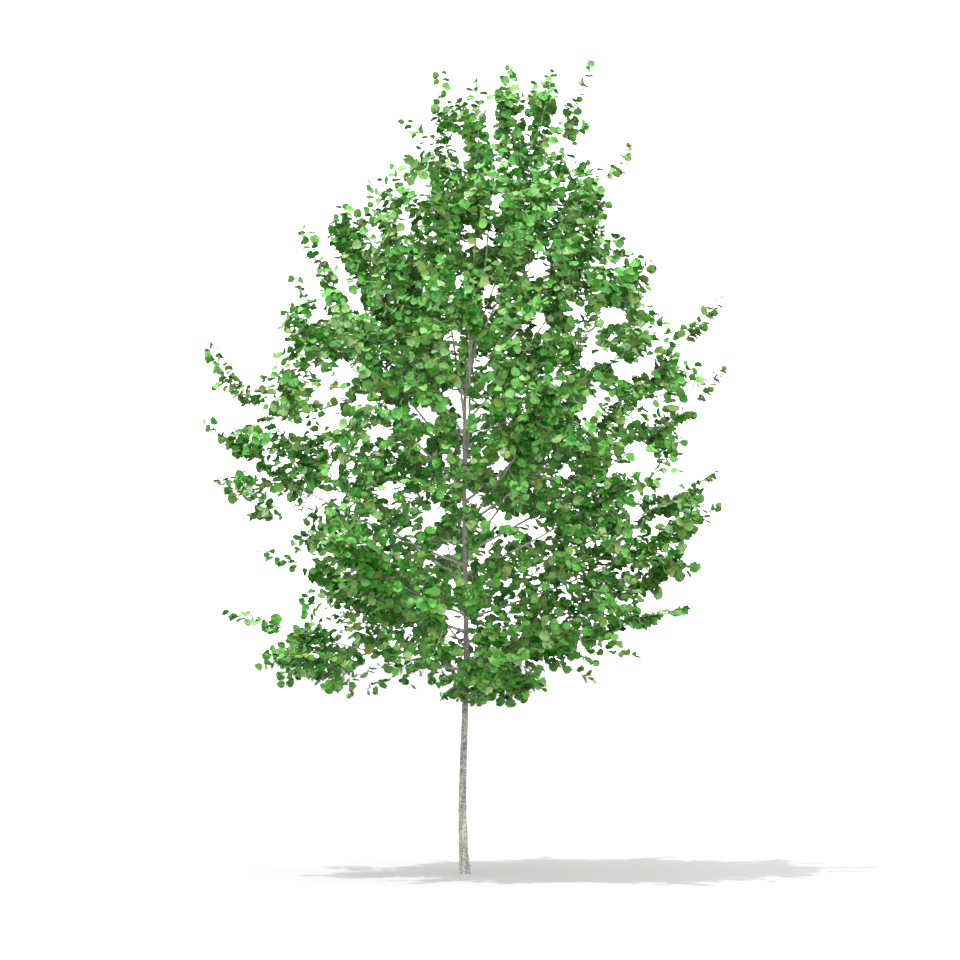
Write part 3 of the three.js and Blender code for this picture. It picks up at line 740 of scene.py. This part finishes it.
def shoot_rise(z):
    """How much shoots turn up, which grows smoothly with height."""
    return mix(LOW_SHOOT_RISE, HIGH_SHOOT_RISE, smooth_step(z, CROWN_FOOT, RISE_HEIGHT))


def sprays_along(bough, control, length, twig, sizes, middles):
    """Sprays from a twig's tip inwards, on either side in turn, each turned and shrunk until it has room."""
    found = []
    for j in range(int((LAST_SPRAY - FIRST_SPRAY) * length / SPRAY_PITCH) + 1):
        t = LAST_SPRAY - j * SPRAY_PITCH / length
        root = curve_point(control, [t])[0]
        along = curve_direction(control, [t])[0]
        for attempt in range(SPRAY_TRIES):
            keys = (bough_orders[bough], twig, j, attempt)
            size = mix(1, TIP_SPRAY_SIZE, t * sizes) * RETRY_SIZE ** attempt
            spray = make_spray(root, along, 1 if j % 2 else -1, j == 0, size, keys)
            outline = spray_outline(*spray)
            middle = (outline[0] + outline[3]) / 2
            crowded = any(np.linalg.norm(m - middle) < SPRAY_LENGTH * SPRAY_SPACING for m in middles)
            if not crowded and in_own_space(bough, outline):
                middles.append(middle)
                shorter = mix(1, TIP_SHOOT, smooth_step(t, SHORTER_FROM, 1)) if j else 1
                reach = SHOOT_REACH * shorter
                axis = unit(spray[1] + SHOOT_FORWARD * along + shoot_rise(root[2]) * UP)
                found.append((root, axis, spray[2], spray[3] * reach))
                break
    return found


def loose_face(*keys):
    """A seeded direction that is mostly up."""
    return np.array([around(1, *keys, 9), around(1, *keys, 10), 1])


def fine_twigs(bough, middles):
    """Finer twigs all along a bough, by golden angle, shorter towards its tip and kept apart."""
    order = bough_orders[bough]
    count = int((FINE_LAST - FINE_FIRST) * bough_lengths[bough] / FINE_PITCH)
    k = np.arange(count)
    t = mix(FINE_FIRST, FINE_LAST, (k + 0.5) / count)
    start = curve_point(bough_curves[bough], t)
    along = curve_direction(bough_curves[bough], t)
    side, lift = across(along)
    turn = np.radians(k * GOLDEN_ANGLE + around(FINE_TURN, order, k, 7))[:, None]
    length = (FINE_LENGTH * (1 - t) ** FINE_TAPER * (1 + around(FINE_JITTER, order, k, 8)))[:, None]
    rise = shoot_rise(start[:, 2:])
    angle = np.radians(FINE_ANGLE)
    aside = np.cos(turn) * side + np.sin(turn) * lift
    tip = start + length * (np.cos(angle) * along + np.sin(angle) * aside + rise * UP)
    bend = (start + tip) / 2 - TWIG_BOW * length * UP
    room = (tip[:, 2] > crown_floor(tip)) & clear_of_trunk(tip, FINE_MARGIN)
    room &= clear_of_trunk(bend, FINE_MARGIN / 2)
    found = []
    for i in np.flatnonzero(room):
        spacing = FINE_SPACING * (1 - FINE_CROWDING * t[i])
        if all(np.linalg.norm(m - bend[i]) > spacing for m in middles):
            middles.append(bend[i])
            face = flat_to(loose_face(order, k[i]), unit(tip[i] - start[i]))
            found.append((np.array([start[i], bend[i], tip[i]]), face))
    return found


def grow_mass(bough):
    """The stem of one bough, its side twigs and the sprays on both, each kept if it stays in its space."""
    first = bare_share[bough]
    _, bend, end = bough_curves[bough]
    stem = np.array([curve_point(bough_curves[bough], [first])[0], mix(bend, end, first), end])
    length = (1 - first) * bough_lengths[bough]
    middles = []
    twigs = []
    sprays = sprays_along(bough, stem, length, 0, 1, middles)
    count = max(LEAST_TWIGS, int(length / TWIG_PITCH + 0.5))
    for k in range(count):
        share = mix(FIRST_TWIG, 1, (k + TWIG_OFFSET) / (count + TWIG_SPARE))
        for attempt in range(TWIG_TRIES):
            twig = make_twig(bough, k, share, attempt)
            if in_own_space(bough, curve_point(twig, TWIG_TESTS)):
                twig = twig[0] + (twig - twig[0]) * mix(1, TIP_TWIG, smooth_step(share, SHORTER_FROM, 1))
                root = min(TWIG_RADIUS, TWIG_FIT * bough_radius(bough, mix(first, 1, share)))
                twigs.append((twig, root))
                sprays += sprays_along(bough, twig, curve_length(twig), k + 1, (k + 1) / count, middles)
                break
    return stem, twigs, sprays


twig_curves, twig_roots, twig_boughs = [], [], []
shoot_curves, shoot_faces, shoot_boughs = [], [], []
stem_curves, fine_middles = [], []


def add_shoot(bough, curve, face):
    """Notes one more shoot with its curve, the way it faces and the bough it belongs to."""
    shoot_curves.append(curve)
    shoot_faces.append(face)
    shoot_boughs.append(bough)


for bough in range(len(bough_names)):
    stem, twigs, sprays = grow_mass(bough)
    stem_curves.append(stem)
    for twig, root in twigs:
        twig_curves.append(twig)
        twig_roots.append(root)
        twig_boughs.append(bough)
    for root, axis, face, length in sprays:
        add_shoot(bough, bowed(root, root + axis * length, length), face)
    for curve, face in fine_twigs(bough, fine_middles):
        add_shoot(bough, curve, face)
stem_curves = np.array(stem_curves)
twig_curves = np.array(twig_curves)
twig_boughs = np.array(twig_boughs)


def in_sky_gap(places, rim=1):
    """True where a place, seen from the front, lies in one of the ellipses of open sky: x, z and half sizes.

    The rim is the share of the half sizes that counts as open, one for all places or one for each.
    """
    nearer = VIEW_PLACE[1] / (VIEW_PLACE[1] - places[:, 1])
    x = mix(VIEW_PLACE[0], places[:, 0], nearer)[:, None]
    z = mix(VIEW_PLACE[2], places[:, 2], nearer)[:, None]
    middle_x, middle_z, half_width, half_height = np.array(SKY_GAPS).T
    inside = np.sqrt(((x - middle_x) / half_width) ** 2 + ((z - middle_z) / half_height) ** 2).min(axis=1)
    return inside < rim


def hides_trunk(places):
    """True for places in front of the trunk at the heights where it shows through the crown."""
    before = (places[:, 1] < 0) & (np.abs(places[:, 0] - trunk_axis(places[:, 2])[:, 0]) < TRUNK_CLEAR)
    lowest, highest = np.array(TRUNK_IN_VIEW).T
    return before & ((places[:, 2:] > lowest) & (places[:, 2:] < highest)).any(axis=1)


def leafy_places(draw):
    """Seeded places in the fuller ellipses of the front view, about as deep as the nearest stem."""
    tries = np.repeat(np.array(LEAFY_PLACES), LEAFY_TRIES, axis=0)
    middle_x, middle_z, half_width, half_height = tries.T
    turn = draw.uniform(0, TAU, len(middle_x))
    share = np.sqrt(draw.random(len(middle_x)))
    x = middle_x + half_width * share * np.cos(turn)
    z = middle_z + half_height * share * np.sin(turn)
    stops = stem_lines.reshape(-1, 3)
    nearest = np.hypot(x[:, None] - stops[:, 0], z[:, None] - stops[:, 2]).argmin(axis=1)
    y = stops[nearest, 1] + draw.normal(0, LEAFY_DEPTH, len(x))
    farther = 1 - y / VIEW_PLACE[1]
    return np.stack([mix(VIEW_PLACE[0], x, farther), y, mix(VIEW_PLACE[2], z, farther)], axis=-1)


def infill_places():
    """Seeded places inside the crown's reach, and about the boughs, nearer to them towards their tips.

    All are clear of the trunk, of the crown's floor and of the places where sky shows through. Each has a
    weight, which is more in the leafy places.
    """
    draw = np.random.default_rng(INFILL_SEED)
    z = draw.uniform(CROWN_FOOT, INFILL_TOP, INFILL_PLACES)
    heading = draw.uniform(0, TAU, INFILL_PLACES)
    rim = np.array([crown_reach(level) for level in z])
    reach = INFILL_INSIDE * np.sqrt(draw.random(INFILL_PLACES)) * rim
    inside = trunk_axis(z) + reach[:, None] * np.stack([np.cos(heading), np.sin(heading), 0 * z], axis=-1)
    which = draw.integers(len(bough_names), size=INFILL_PLACES)
    t = draw.uniform(INFILL_FIRST, INFILL_LAST, INFILL_PLACES)
    widest = INFILL_SHARE * bough_lengths[which] * (1 - t) ** INFILL_TAPER
    apart = widest * np.cbrt(draw.random(INFILL_PLACES))
    aside = apart[:, None] * unit(draw.normal(size=(INFILL_PLACES, 3)))
    about = curve_point(bough_curves[which], t[:, None])[:, 0] + aside
    leafy = leafy_places(draw)
    places = np.concatenate([inside, about, leafy])
    weights = np.concatenate([np.ones(2 * INFILL_PLACES), np.full(len(leafy), LEAFY_WEIGHT)])
    room = (places[:, 2] > crown_floor(places)) & ~in_sky_gap(places)
    room &= clear_of_trunk(places, 2 * FINE_MARGIN)
    return places[room], weights[room]


def infill_twigs():
    """Twigs to the emptiest places in turn, each from a near limb that it leaves at an easy angle.

    The emptiest place is the one farthest from all shoots so far, with gaps in depth counted less than gaps
    seen from the front. The cost of a root is its distance, raised by how far the cosine of its angle is
    from the best one.
    """
    places, weights = infill_places()
    squash = np.array([1, INFILL_DEPTH, 1])
    shoots = np.array(shoot_curves)
    bearing = curve_point(shoots, SHOOT_TESTS).reshape(-1, 3)
    empty = np.array([np.linalg.norm((bearing - place) * squash, axis=1).min() for place in places])
    stops = np.linspace(FIRST_ROOT, LAST_ROOT, ROOT_STOPS)
    limbs = np.concatenate([bough_curves, twig_curves])
    roots = curve_point(limbs, stops).reshape(-1, 3)
    courses = curve_direction(limbs, stops).reshape(-1, 3)
    owners = np.repeat(np.concatenate([np.arange(len(bough_names)), twig_boughs]), len(stops))
    found = []
    for k in range(INFILL_TWIGS):
        chosen = (empty * weights).argmax()
        way = places[chosen] - roots
        far = np.linalg.norm(way, axis=1)
        lean = (way * courses).sum(axis=1) / far
        best = (far * (1 + INFILL_LEAN_COST * np.abs(lean - INFILL_LEAN))).argmin()
        empty = np.minimum(empty, np.linalg.norm((places - places[chosen]) * squash, axis=1))
        if far[best] < INFILL_LONGEST:
            start, tip = roots[best], places[chosen]
            course = unit(unit(tip - start) + courses[best] + shoot_rise(tip[2]) * UP)
            bend = tip - min(INFILL_END, INFILL_END_SHARE * far[best]) * course
            face = flat_to(loose_face(k, 3), unit(tip - start))
            found.append((owners[best], np.array([start, bend, tip]), face))
    return found


for bough, curve, face in infill_twigs():
    add_shoot(bough, curve, face)
shoot_curves = np.array(shoot_curves)
open_sky = in_sky_gap(shoot_curves[:, 2])
shoot_curves = shoot_curves[~open_sky]
shoot_faces = np.array(shoot_faces)[~open_sky]
shoot_boughs = np.array(shoot_boughs)[~open_sky]


def twig_points(curves, roots, tips, rings, sides):
    """Thin limbs along quadratic curves, tapering evenly from their roots to their tips."""
    t = np.broadcast_to(np.linspace(0, 1, rings), (len(curves), rings))
    radii = np.repeat(mix(np.asarray(roots)[:, None], tips, t)[..., None], sides, axis=2)
    level = reference(unit(curves[:, 2] - curves[:, 0]))
    return limb_points(curve_point(curves, t), radii, level)


twig_bark = bark_material("twig_bark", **TWIG_BARK)
shoot_bark = bark_material("shoot_bark", **SHOOT_BARK)
shoot_roots = np.full(len(shoot_curves), SHOOT_RADIUS)
coarse = twig_points(twig_curves, twig_roots, TWIG_TIP, TWIG_RINGS, TWIG_SIDES).reshape(-1, 3)
fine = twig_points(shoot_curves, shoot_roots, SHOOT_TIP, SHOOT_RINGS, SHOOT_SIDES).reshape(-1, 3)
coarse_faces = ring_faces(len(twig_curves), TWIG_RINGS, TWIG_SIDES)
fine_faces = [group + len(coarse) for group in ring_faces(len(shoot_curves), SHOOT_RINGS, SHOOT_SIDES)]
which_bark = np.repeat([0, 1], [sum(map(len, coarse_faces)), sum(map(len, fine_faces))])
make_piece("twigs", np.concatenate([coarse, fine]), coarse_faces + fine_faces, [twig_bark, shoot_bark],
           which_bark)


# The leaves: round, toothed blades with a notched tip, set to either side of each shoot in turn and smaller
# towards its tip. Thin and soft, glossy green above and dull olive below, each on a short stalk. The olive
# below is partly their own colour and partly painted light, lighter for light that shines through the leaf.
# From the front they leave free the places where sky or the trunk shows through.
LEAF_LENGTH = 0.068
LEAF_PITCH = 0.03
STEM_LEAF_PITCH = 0.015
TIP_LEAF_PITCH = 0.016
TOP_PITCH_FACTOR = 1.4
TOP_PITCH_HEIGHTS = (4.0, 4.5)
TIP_LEAF_REACH = 0.3
LEAF_SEED = 11
PITCH_JITTER = 0.3
LEAF_JITTER = 0.2
LEAF_FORWARD = 0.4
LEAF_AXIS_JITTER = 0.2
LAST_LEAF_SPREAD = 0.15
LEAF_SPREAD = 0.75
LEAF_DROOP = 0.15
LEAF_LEVEL = 0.4
LEAF_TURN = 50
LAST_LEAF = 0.99
TIP_SHRINK = 0.3
TIP_SHRINK_LEAVES = 2.2
STALK_LENGTH = 0.007
STALK_JITTER = 0.3
STALK_FORWARD = 0.5
FACE_OUT = 0.35
FACE_UP = 0.9
FACE_SPREAD = 1.0
LEAF_FOLD = 0.36
FOLD_RANGE = (0.3, 1.6)
LEAF_CURL = 0.24
CURL_RANGE = (-0.3, 1.5)
LEAF_WAVE = 0.08
WAVE_RANGE = (-2, 2)
RIM_WAVES = 5
BLADE_ROWS = 4
ROW_OFFSET = 0.75
ROW_SPARE = 0.2
TOOTH = 0.1
RIM_START = 0.02
RIM_REACH = 0.985
RIM_POWER = 0.92
HALF_WIDTH = 0.485
WIDEST_POWER = 1.05
ROUND_POWER = 2.4
FULL_POWER = 0.62
RIB_REACH = 0.9
RIB_POWER = 1.1
RIB_DEPTH = 0.012
NOTCH = 0.93
TRUNK_MARGIN = 0.03
GAP_RIMS = (0.45, 1.35)
LOST_LEAVES = 0.02
FIRST_STEM_LEAF = 0.5
FIRST_TWIG_LEAF = 0.22
FIRST_SHOOT_LEAF = 0.1
TINT_LEAVES = 2
UPPER_TINTS = [(60, 130, 40), (16, 92, 6), (80, 134, 60), (92, 118, 50), (110, 140, 86)]
UPPER_SHARES = [0.28, 0.28, 0.22, 0.1, 0.12]
UPPER_SHINE = 0.3
# Under colours: partly the undersides' own olive, partly painted light that lightens them for light shining
# through the leaf and against their shade.
UNDER_TINTS_WITH_PAINTED_LIGHT = [(96, 140, 64), (54, 116, 36), (108, 128, 64)]
UNDER_SHARES = [0.5, 0.4, 0.1]
UNDER_SHINE = 0.12
MOST_LEAVES = 1000
VEIN_DEPTH = 0.0025
VEIN_BUMP = 0.6
VEIN_SLANT = 0.8
VEIN_POWER = 0.35
SIDE_VEINS = 7
RIB_EDGE = 22
LEAF_GRAIN = dict(stretch=(1, 1, 1), scale=160, detail=3)
LEAF_ROUGHNESS = (0.3, 0.52)

draw = np.random.default_rng(LEAF_SEED)
bearers = np.concatenate([stem_curves, twig_curves, shoot_curves])
bearer_boughs = np.concatenate([np.arange(len(stem_curves)), twig_boughs, shoot_boughs])
bearer_lengths = curve_length(bearers)
first_leaf = np.concatenate([
    np.full(len(stem_curves), FIRST_STEM_LEAF),
    np.full(len(twig_curves), FIRST_TWIG_LEAF),
    np.maximum(FIRST_SHOOT_LEAF, 1 - INFILL_LEAFY / curve_length(shoot_curves)),
])
spin = draw.uniform(0, TAU, len(bearers) - len(shoot_curves))
loose_faces = np.stack([np.cos(spin), np.sin(spin), np.full(len(spin), FACE_LIFT)], axis=-1)
bearer_faces = unit(np.concatenate([loose_faces, shoot_faces]))

to_tip = np.linalg.norm(bearers[:, 2] - bough_curves[bearer_boughs, 2], axis=1)
looser = mix(1, TOP_PITCH_FACTOR, smooth_step(bearers[:, 2, 2], *TOP_PITCH_HEIGHTS))
tip_pitch = TIP_LEAF_PITCH * looser
leaf_pitch = mix(tip_pitch, LEAF_PITCH, smooth_step(to_tip, TIP_LEAF_REACH / 2, TIP_LEAF_REACH))
leaf_pitch[:len(stem_curves)] = (STEM_LEAF_PITCH * looser)[:len(stem_curves)]
leaf_count = np.maximum(0, (LAST_LEAF - first_leaf) * bearer_lengths / leaf_pitch).astype(int) + 1
bearer = np.repeat(np.arange(len(bearers)), leaf_count)
place = np.arange(len(bearer)) - np.repeat(np.cumsum(leaf_count) - leaf_count, leaf_count)
leaf_step = (leaf_pitch / bearer_lengths)[bearer]
shift = draw.uniform(-PITCH_JITTER, PITCH_JITTER, len(place)) * (place > 0)
leaf_t = LAST_LEAF - (place + shift) * leaf_step
leaf_t = np.clip(leaf_t, 0, 1)
node = curve_point(bearers[bearer], leaf_t[:, None])[:, 0]
along = curve_direction(bearers[bearer], leaf_t[:, None])[:, 0]
plane = flat_to(bearer_faces[bearer], along)
outward = np.cross(plane, along) * np.where(place % 2, 1, -1)[:, None]
turn = np.radians(draw.uniform(-LEAF_TURN, LEAF_TURN, len(place)))[:, None]
outward = np.cos(turn) * outward + np.sin(turn) * plane
spread = np.where(place == 0, LAST_LEAF_SPREAD, LEAF_SPREAD)[:, None]
leaf_axis = outward * spread + LEAF_FORWARD * along + draw.normal(0, LEAF_AXIS_JITTER, node.shape)
leaf_axis = unit(leaf_axis * np.array([1, 1, LEAF_LEVEL]) - LEAF_DROOP * UP)
away = node - trunk_axis(np.minimum(node[:, 2], TRUNK_LENGTH))
away[:, 2] = 0
facing = FACE_OUT * unit(away) + FACE_UP * UP + FACE_SPREAD * unit(draw.normal(0, 1, node.shape))
leaf_face = flat_to(facing, leaf_axis)
shrink = 1 - TIP_SHRINK * np.exp(-place / TIP_SHRINK_LEAVES)
leaf_length = LEAF_LENGTH * (1 + draw.uniform(-LEAF_JITTER, LEAF_JITTER, len(place))) * shrink
stalk_length = STALK_LENGTH * (1 + draw.uniform(-STALK_JITTER, STALK_JITTER, len(place))) * np.sqrt(shrink)
leaf_root = node + stalk_length[:, None] * unit(outward * spread + STALK_FORWARD * along)

middle = leaf_root + 0.5 * leaf_length[:, None] * leaf_axis
rim = draw.uniform(*GAP_RIMS, len(place))
kept = (middle[:, 2] > crown_floor(middle)) & clear_of_trunk(middle, TRUNK_MARGIN) & ~in_sky_gap(middle, rim)
kept &= ~hides_trunk(middle) & (draw.random(len(place)) > LOST_LEAVES)
bearer, place, node, leaf_root = bearer[kept], place[kept], node[kept], leaf_root[kept]
leaf_axis, leaf_face, leaf_length = leaf_axis[kept], leaf_face[kept], leaf_length[kept]


def leaf_blade():
    """One leaf of unit length: its points along and across, how low they hang, its faces, and which are rim.

    The half width is a flattened circle, widest past the middle. Teeth push every other rim point out. The
    rib ends in a notch short of the two top lobes. Upper and under faces share the rim, and the under rib
    hangs a little lower.
    """
    rows = BLADE_ROWS
    share = (np.arange(rows) + ROW_OFFSET) / (rows + ROW_SPARE)
    teeth = 1 + TOOTH * np.where(np.arange(rows) % 2, -1, 1)
    rim_along = RIM_START + RIM_REACH * share ** RIM_POWER
    rounded = 1 - np.abs(2 * share ** WIDEST_POWER - 1) ** ROUND_POWER
    rim_across = HALF_WIDTH * rounded ** FULL_POWER * teeth
    rib_along = RIB_REACH * share ** RIB_POWER
    x = np.concatenate([[0, NOTCH], rim_along, rim_along, rib_along, rib_along])
    y = np.concatenate([[0, 0], rim_across, -rim_across, 0 * share, 0 * share])
    low = np.concatenate([np.zeros(2 + 3 * rows), np.full(rows, -RIB_DEPTH)])
    left, right = 2 + np.arange(rows), 2 + rows + np.arange(rows)
    upper, under = right + rows, right + 2 * rows

    def half(rib, rim):
        """Quads from the rib to the rim between rows, and a triangle at the root and at the notch."""
        quads = np.stack([rib[:-1], rib[1:], rim[1:], rim[:-1]], axis=-1)
        ends = np.array([[0, rib[0], rim[0]], [rib[-1], 1, rim[-1]]])
        return quads, ends

    halves = [half(upper, left), half(upper, right), half(under, left), half(under, right)]
    quads = [halves[0][0], halves[1][0][:, ::-1], halves[2][0][:, ::-1], halves[3][0]]
    ends = [halves[0][1], halves[1][1][:, ::-1], halves[2][1][:, ::-1], halves[3][1]]
    return x, y, low, np.concatenate(quads), np.concatenate(ends), np.arange(len(x)) < 2 + 2 * rows


blade_x, blade_y, blade_low, blade_quads, blade_ends, blade_rim = leaf_blade()
blade_wave = np.abs(blade_y) * np.sin(blade_x * RIM_WAVES * np.pi)
leaf_bend = np.stack([
    LEAF_FOLD * draw.uniform(*FOLD_RANGE, len(bearer)),
    LEAF_CURL * draw.uniform(*CURL_RANGE, len(bearer)),
    LEAF_WAVE * draw.uniform(*WAVE_RANGE, len(bearer)),
])


def leaf_points(chosen):
    """Blades folded up along the rib, curled to the tip and waved at the rim, each by its own amount."""
    size = leaf_length[chosen][:, None]
    fold, curl, wave = leaf_bend[:, chosen, None]
    height = blade_low + fold * np.abs(blade_y) - curl * blade_x ** 2 + wave * blade_wave
    left = np.cross(leaf_face[chosen], leaf_axis[chosen])
    parts = [(blade_x * size, leaf_axis[chosen]), (blade_y * size, left), (height * size, leaf_face[chosen])]
    return leaf_root[chosen][:, None] + sum(amount[..., None] * axis[:, None] for amount, axis in parts)


def vein_group():
    """Veins of a leaf on its own map: a rib along the middle and side veins that slant to the rim."""
    tree = bpy.data.node_groups.new("leaf_veins", "ShaderNodeTree")
    for name in ("Height", "Roughness"):
        tree.interface.new_socket(name, in_out="OUTPUT", socket_type="NodeSocketFloat")
    result = add_node(tree, "NodeGroupOutput")
    place = add_node(tree, "ShaderNodeTexCoord")
    parts = add_node(tree, "ShaderNodeSeparateXYZ")
    tree.links.new(place.outputs["UV"], parts.inputs["Vector"])
    aside = math_of(tree, "ABSOLUTE", math_of(tree, "SUBTRACT", parts.outputs["Y"], 0.5))
    slant = math_of(tree, "SUBTRACT", parts.outputs["X"], math_of(tree, "MULTIPLY", aside, VEIN_SLANT))
    wave = math_of(tree, "SINE", math_of(tree, "MULTIPLY", slant, SIDE_VEINS * np.pi))
    side_veins = math_of(tree, "POWER", math_of(tree, "ABSOLUTE", wave), VEIN_POWER)
    rib = math_of(tree, "MINIMUM", math_of(tree, "MULTIPLY", aside, RIB_EDGE), 1)
    tree.links.new(math_of(tree, "MINIMUM", rib, side_veins), result.inputs["Height"])
    rough = range_of(tree, stretched_noise(tree, **LEAF_GRAIN), 0, 1, *LEAF_ROUGHNESS)
    tree.links.new(rough, result.inputs["Roughness"])
    return tree


vein_pattern = vein_group()


def leaf_material(name, tint, depth, gloss):
    """A plain leaf colour with the veins as a shallow relief, pressed in above and standing out below."""
    material = bpy.data.materials.new(name)
    material.use_nodes = True
    tree = material.node_tree
    shader = tree.nodes["Principled BSDF"]
    shader.inputs["Base Color"].default_value = linear(*tint)
    shader.inputs["Specular IOR Level"].default_value = gloss
    pattern = add_node(tree, "ShaderNodeGroup")
    pattern.node_tree = vein_pattern
    bump = add_node(tree, "ShaderNodeBump", Strength=VEIN_BUMP, Distance=abs(depth))
    bump.invert = depth < 0
    tree.links.new(pattern.outputs["Roughness"], shader.inputs["Roughness"])
    tree.links.new(pattern.outputs["Height"], bump.inputs["Height"])
    tree.links.new(bump.outputs["Normal"], shader.inputs["Normal"])
    return material


leaf_greens = []
for i, tint in enumerate(UPPER_TINTS):
    leaf_greens.append(leaf_material(f"leaf_upper_{i + 1}", tint, VEIN_DEPTH, UPPER_SHINE))
for i, tint in enumerate(UNDER_TINTS_WITH_PAINTED_LIGHT):
    leaf_greens.append(leaf_material(f"leaf_under_{i + 1}", tint, -VEIN_DEPTH, UNDER_SHINE))
_, spray = np.unique(bearer * MOST_LEAVES + place // TINT_LEAVES, return_inverse=True)
upper_tint = draw.choice(len(UPPER_TINTS), len(bearer), p=UPPER_SHARES)[spray]
under_tint = len(UPPER_TINTS) + draw.choice(len(UNDER_TINTS_WITH_PAINTED_LIGHT), len(bearer), p=UNDER_SHARES)[spray]


def leaf_piece(name, chosen, nodes):
    """The leaves of one side of the crown as one mesh, with upper and under colours dealt out by spray."""
    count = len(chosen)
    offset = np.arange(count)[:, None, None] * len(blade_x)
    faces = [(blade_quads + offset).reshape(-1, 4), (blade_ends + offset).reshape(-1, 3)]
    top, below = upper_tint[chosen][:, None], under_tint[chosen][:, None]
    halves = [np.arange(len(group)) < len(group) // 2 for group in (blade_quads, blade_ends)]
    which = np.concatenate([np.where(half, top, below).ravel() for half in halves])
    piece = make_piece(name, leaf_points(chosen).reshape(-1, 3), faces, leaf_greens, which)
    mesh = piece.data
    corner = np.empty(len(mesh.loops), np.int32)
    mesh.loops.foreach_get("vertex_index", corner)
    spot = corner % len(blade_x)
    layer = mesh.uv_layers.new(name="blade")
    on_blade = np.stack([blade_x[spot], blade_y[spot] + 0.5], axis=-1)
    layer.data.foreach_set("uv", on_blade.astype(np.float32).ravel())
    ends = np.empty(2 * len(mesh.edges), np.int32)
    mesh.edges.foreach_get("vertices", ends)
    sharp = blade_rim[ends.reshape(-1, 2) % len(blade_x)].all(axis=1)
    mesh.attributes.new("sharp_edge", "BOOLEAN", "EDGE").data.foreach_set("value", sharp)
    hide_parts(*nodes)


leaf_boughs = bearer_boughs[bearer]
for side in ("left", "right", "front", "back"):
    mine = np.array([name.startswith(side) for name in bough_names])
    names = [f"mass_{name}" for name in bough_names if name.startswith(side)]
    leaf_piece(f"leaves_{side}", np.flatnonzero(mine[leaf_boughs]), names)
topmost = [bough_names.index("lesser_leader"), bough_names.index("top")]
leaf_piece("leaves_top", np.flatnonzero(np.isin(leaf_boughs, topmost)), ["mass_lesser_leader", "mass_top"])


# The leaf stalks: thin, pale green and a little waxy. Each grows from its shoot and runs on under the root
# of its blade.
STALK_TINT = (150, 158, 92)
STALK_GRAIN = dict(stretch=(1, 1, 1), scale=240, detail=2)
STALK_ROUGHNESS = (0.4, 0.7)
STALK_RADIUS = 0.0008
STALK_RINGS = 2
STALK_SIDES = 3
STALK_OVERLAP = 0.06


def stalk_material():
    """Pale green with a slight waxy unevenness."""
    material = bpy.data.materials.new("leaf_stalk")
    material.use_nodes = True
    tree = material.node_tree
    shader = tree.nodes["Principled BSDF"]
    shader.inputs["Base Color"].default_value = linear(*STALK_TINT)
    rough = range_of(tree, stretched_noise(tree, **STALK_GRAIN), 0, 1, *STALK_ROUGHNESS)
    tree.links.new(rough, shader.inputs["Roughness"])
    return material


stalk_paths = np.stack([node, leaf_root + STALK_OVERLAP * leaf_length[:, None] * leaf_axis], axis=1)
stalk_radii = np.full((len(node), STALK_RINGS, STALK_SIDES), STALK_RADIUS)
make_piece("leaf_stalks", limb_points(stalk_paths, stalk_radii, leaf_face).reshape(-1, 3),
           ring_faces(len(node), STALK_RINGS, STALK_SIDES), [stalk_material()])


# The studio: a plain pale floor under a white sky, a high sun a little to the left, a weak and very soft
# light from the front, and a distant camera.
FLOOR_SIZE = 400
FLOOR_TINT = 0.25
FLOOR_ROUGHNESS = 0.9
CAMERA_AIM = (0.096, 0.0, 2.509)
FRAME_WIDTH = 6.144
SUN_FROM = (-0.28, -0.1, 1.0)
SUN_STRENGTH = 3.9
SUN_ANGLE = 0.55
FRONT_LIGHT_FROM = (0.2, -1.0, 0.3)
FRONT_LIGHT_STRENGTH = 1.8
FRONT_LIGHT_ANGLE = 50
SKY_STRENGTH = 3.2


def look(piece, direction):
    """Turns an object so that its own -Z axis points along a direction, with +Y up."""
    piece.rotation_euler = Vector(direction).to_track_quat("-Z", "Y").to_euler()


edge = FLOOR_SIZE / 2
floor_mesh = bpy.data.meshes.new("floor")
floor_corners = [(-edge, -edge, 0), (edge, -edge, 0), (edge, edge, 0), (-edge, edge, 0)]
floor_mesh.from_pydata(floor_corners, [], [(0, 1, 2, 3)])
floor = bpy.data.objects.new("floor", floor_mesh)
bpy.context.scene.collection.objects.link(floor)
floor_finish = bpy.data.materials.new("pale_floor")
floor_finish.use_nodes = True
floor_shader = floor_finish.node_tree.nodes["Principled BSDF"]
floor_shader.inputs["Base Color"].default_value = (FLOOR_TINT, FLOOR_TINT, FLOOR_TINT, 1)
floor_shader.inputs["Roughness"].default_value = FLOOR_ROUGHNESS
floor_shader.inputs["Specular IOR Level"].default_value = 0.0
floor_mesh.materials.append(floor_finish)

world = bpy.data.worlds.new("white_sky")
world.use_nodes = True
sky = world.node_tree.nodes["Background"]
sky.inputs["Color"].default_value = (1, 1, 1, 1)
sky.inputs["Strength"].default_value = SKY_STRENGTH
bpy.context.scene.world = world


def add_sun(name, place, strength, angle):
    """A light from far away in the direction of a place, which is softer if its angle is wider."""
    light = bpy.data.lights.new(name, "SUN")
    light.energy = strength
    light.angle = np.radians(angle)
    sun = bpy.data.objects.new(name, light)
    look(sun, -np.array(place))
    bpy.context.scene.collection.objects.link(sun)


add_sun("high_sun", SUN_FROM, SUN_STRENGTH, SUN_ANGLE)
add_sun("front_fill", FRONT_LIGHT_FROM, FRONT_LIGHT_STRENGTH, FRONT_LIGHT_ANGLE)

aim = np.array(CAMERA_AIM) - np.array(VIEW_PLACE)
lens = bpy.data.cameras.new("front_camera")
lens.lens = lens.sensor_width * np.linalg.norm(aim) / FRAME_WIDTH
lens.clip_end = 2 * FLOOR_SIZE
camera = bpy.data.objects.new("front_camera", lens)
camera.location = VIEW_PLACE
look(camera, aim)
bpy.context.scene.collection.objects.link(camera)
bpy.context.scene.camera = camera
bpy.context.scene.view_settings.view_transform = "Standard"
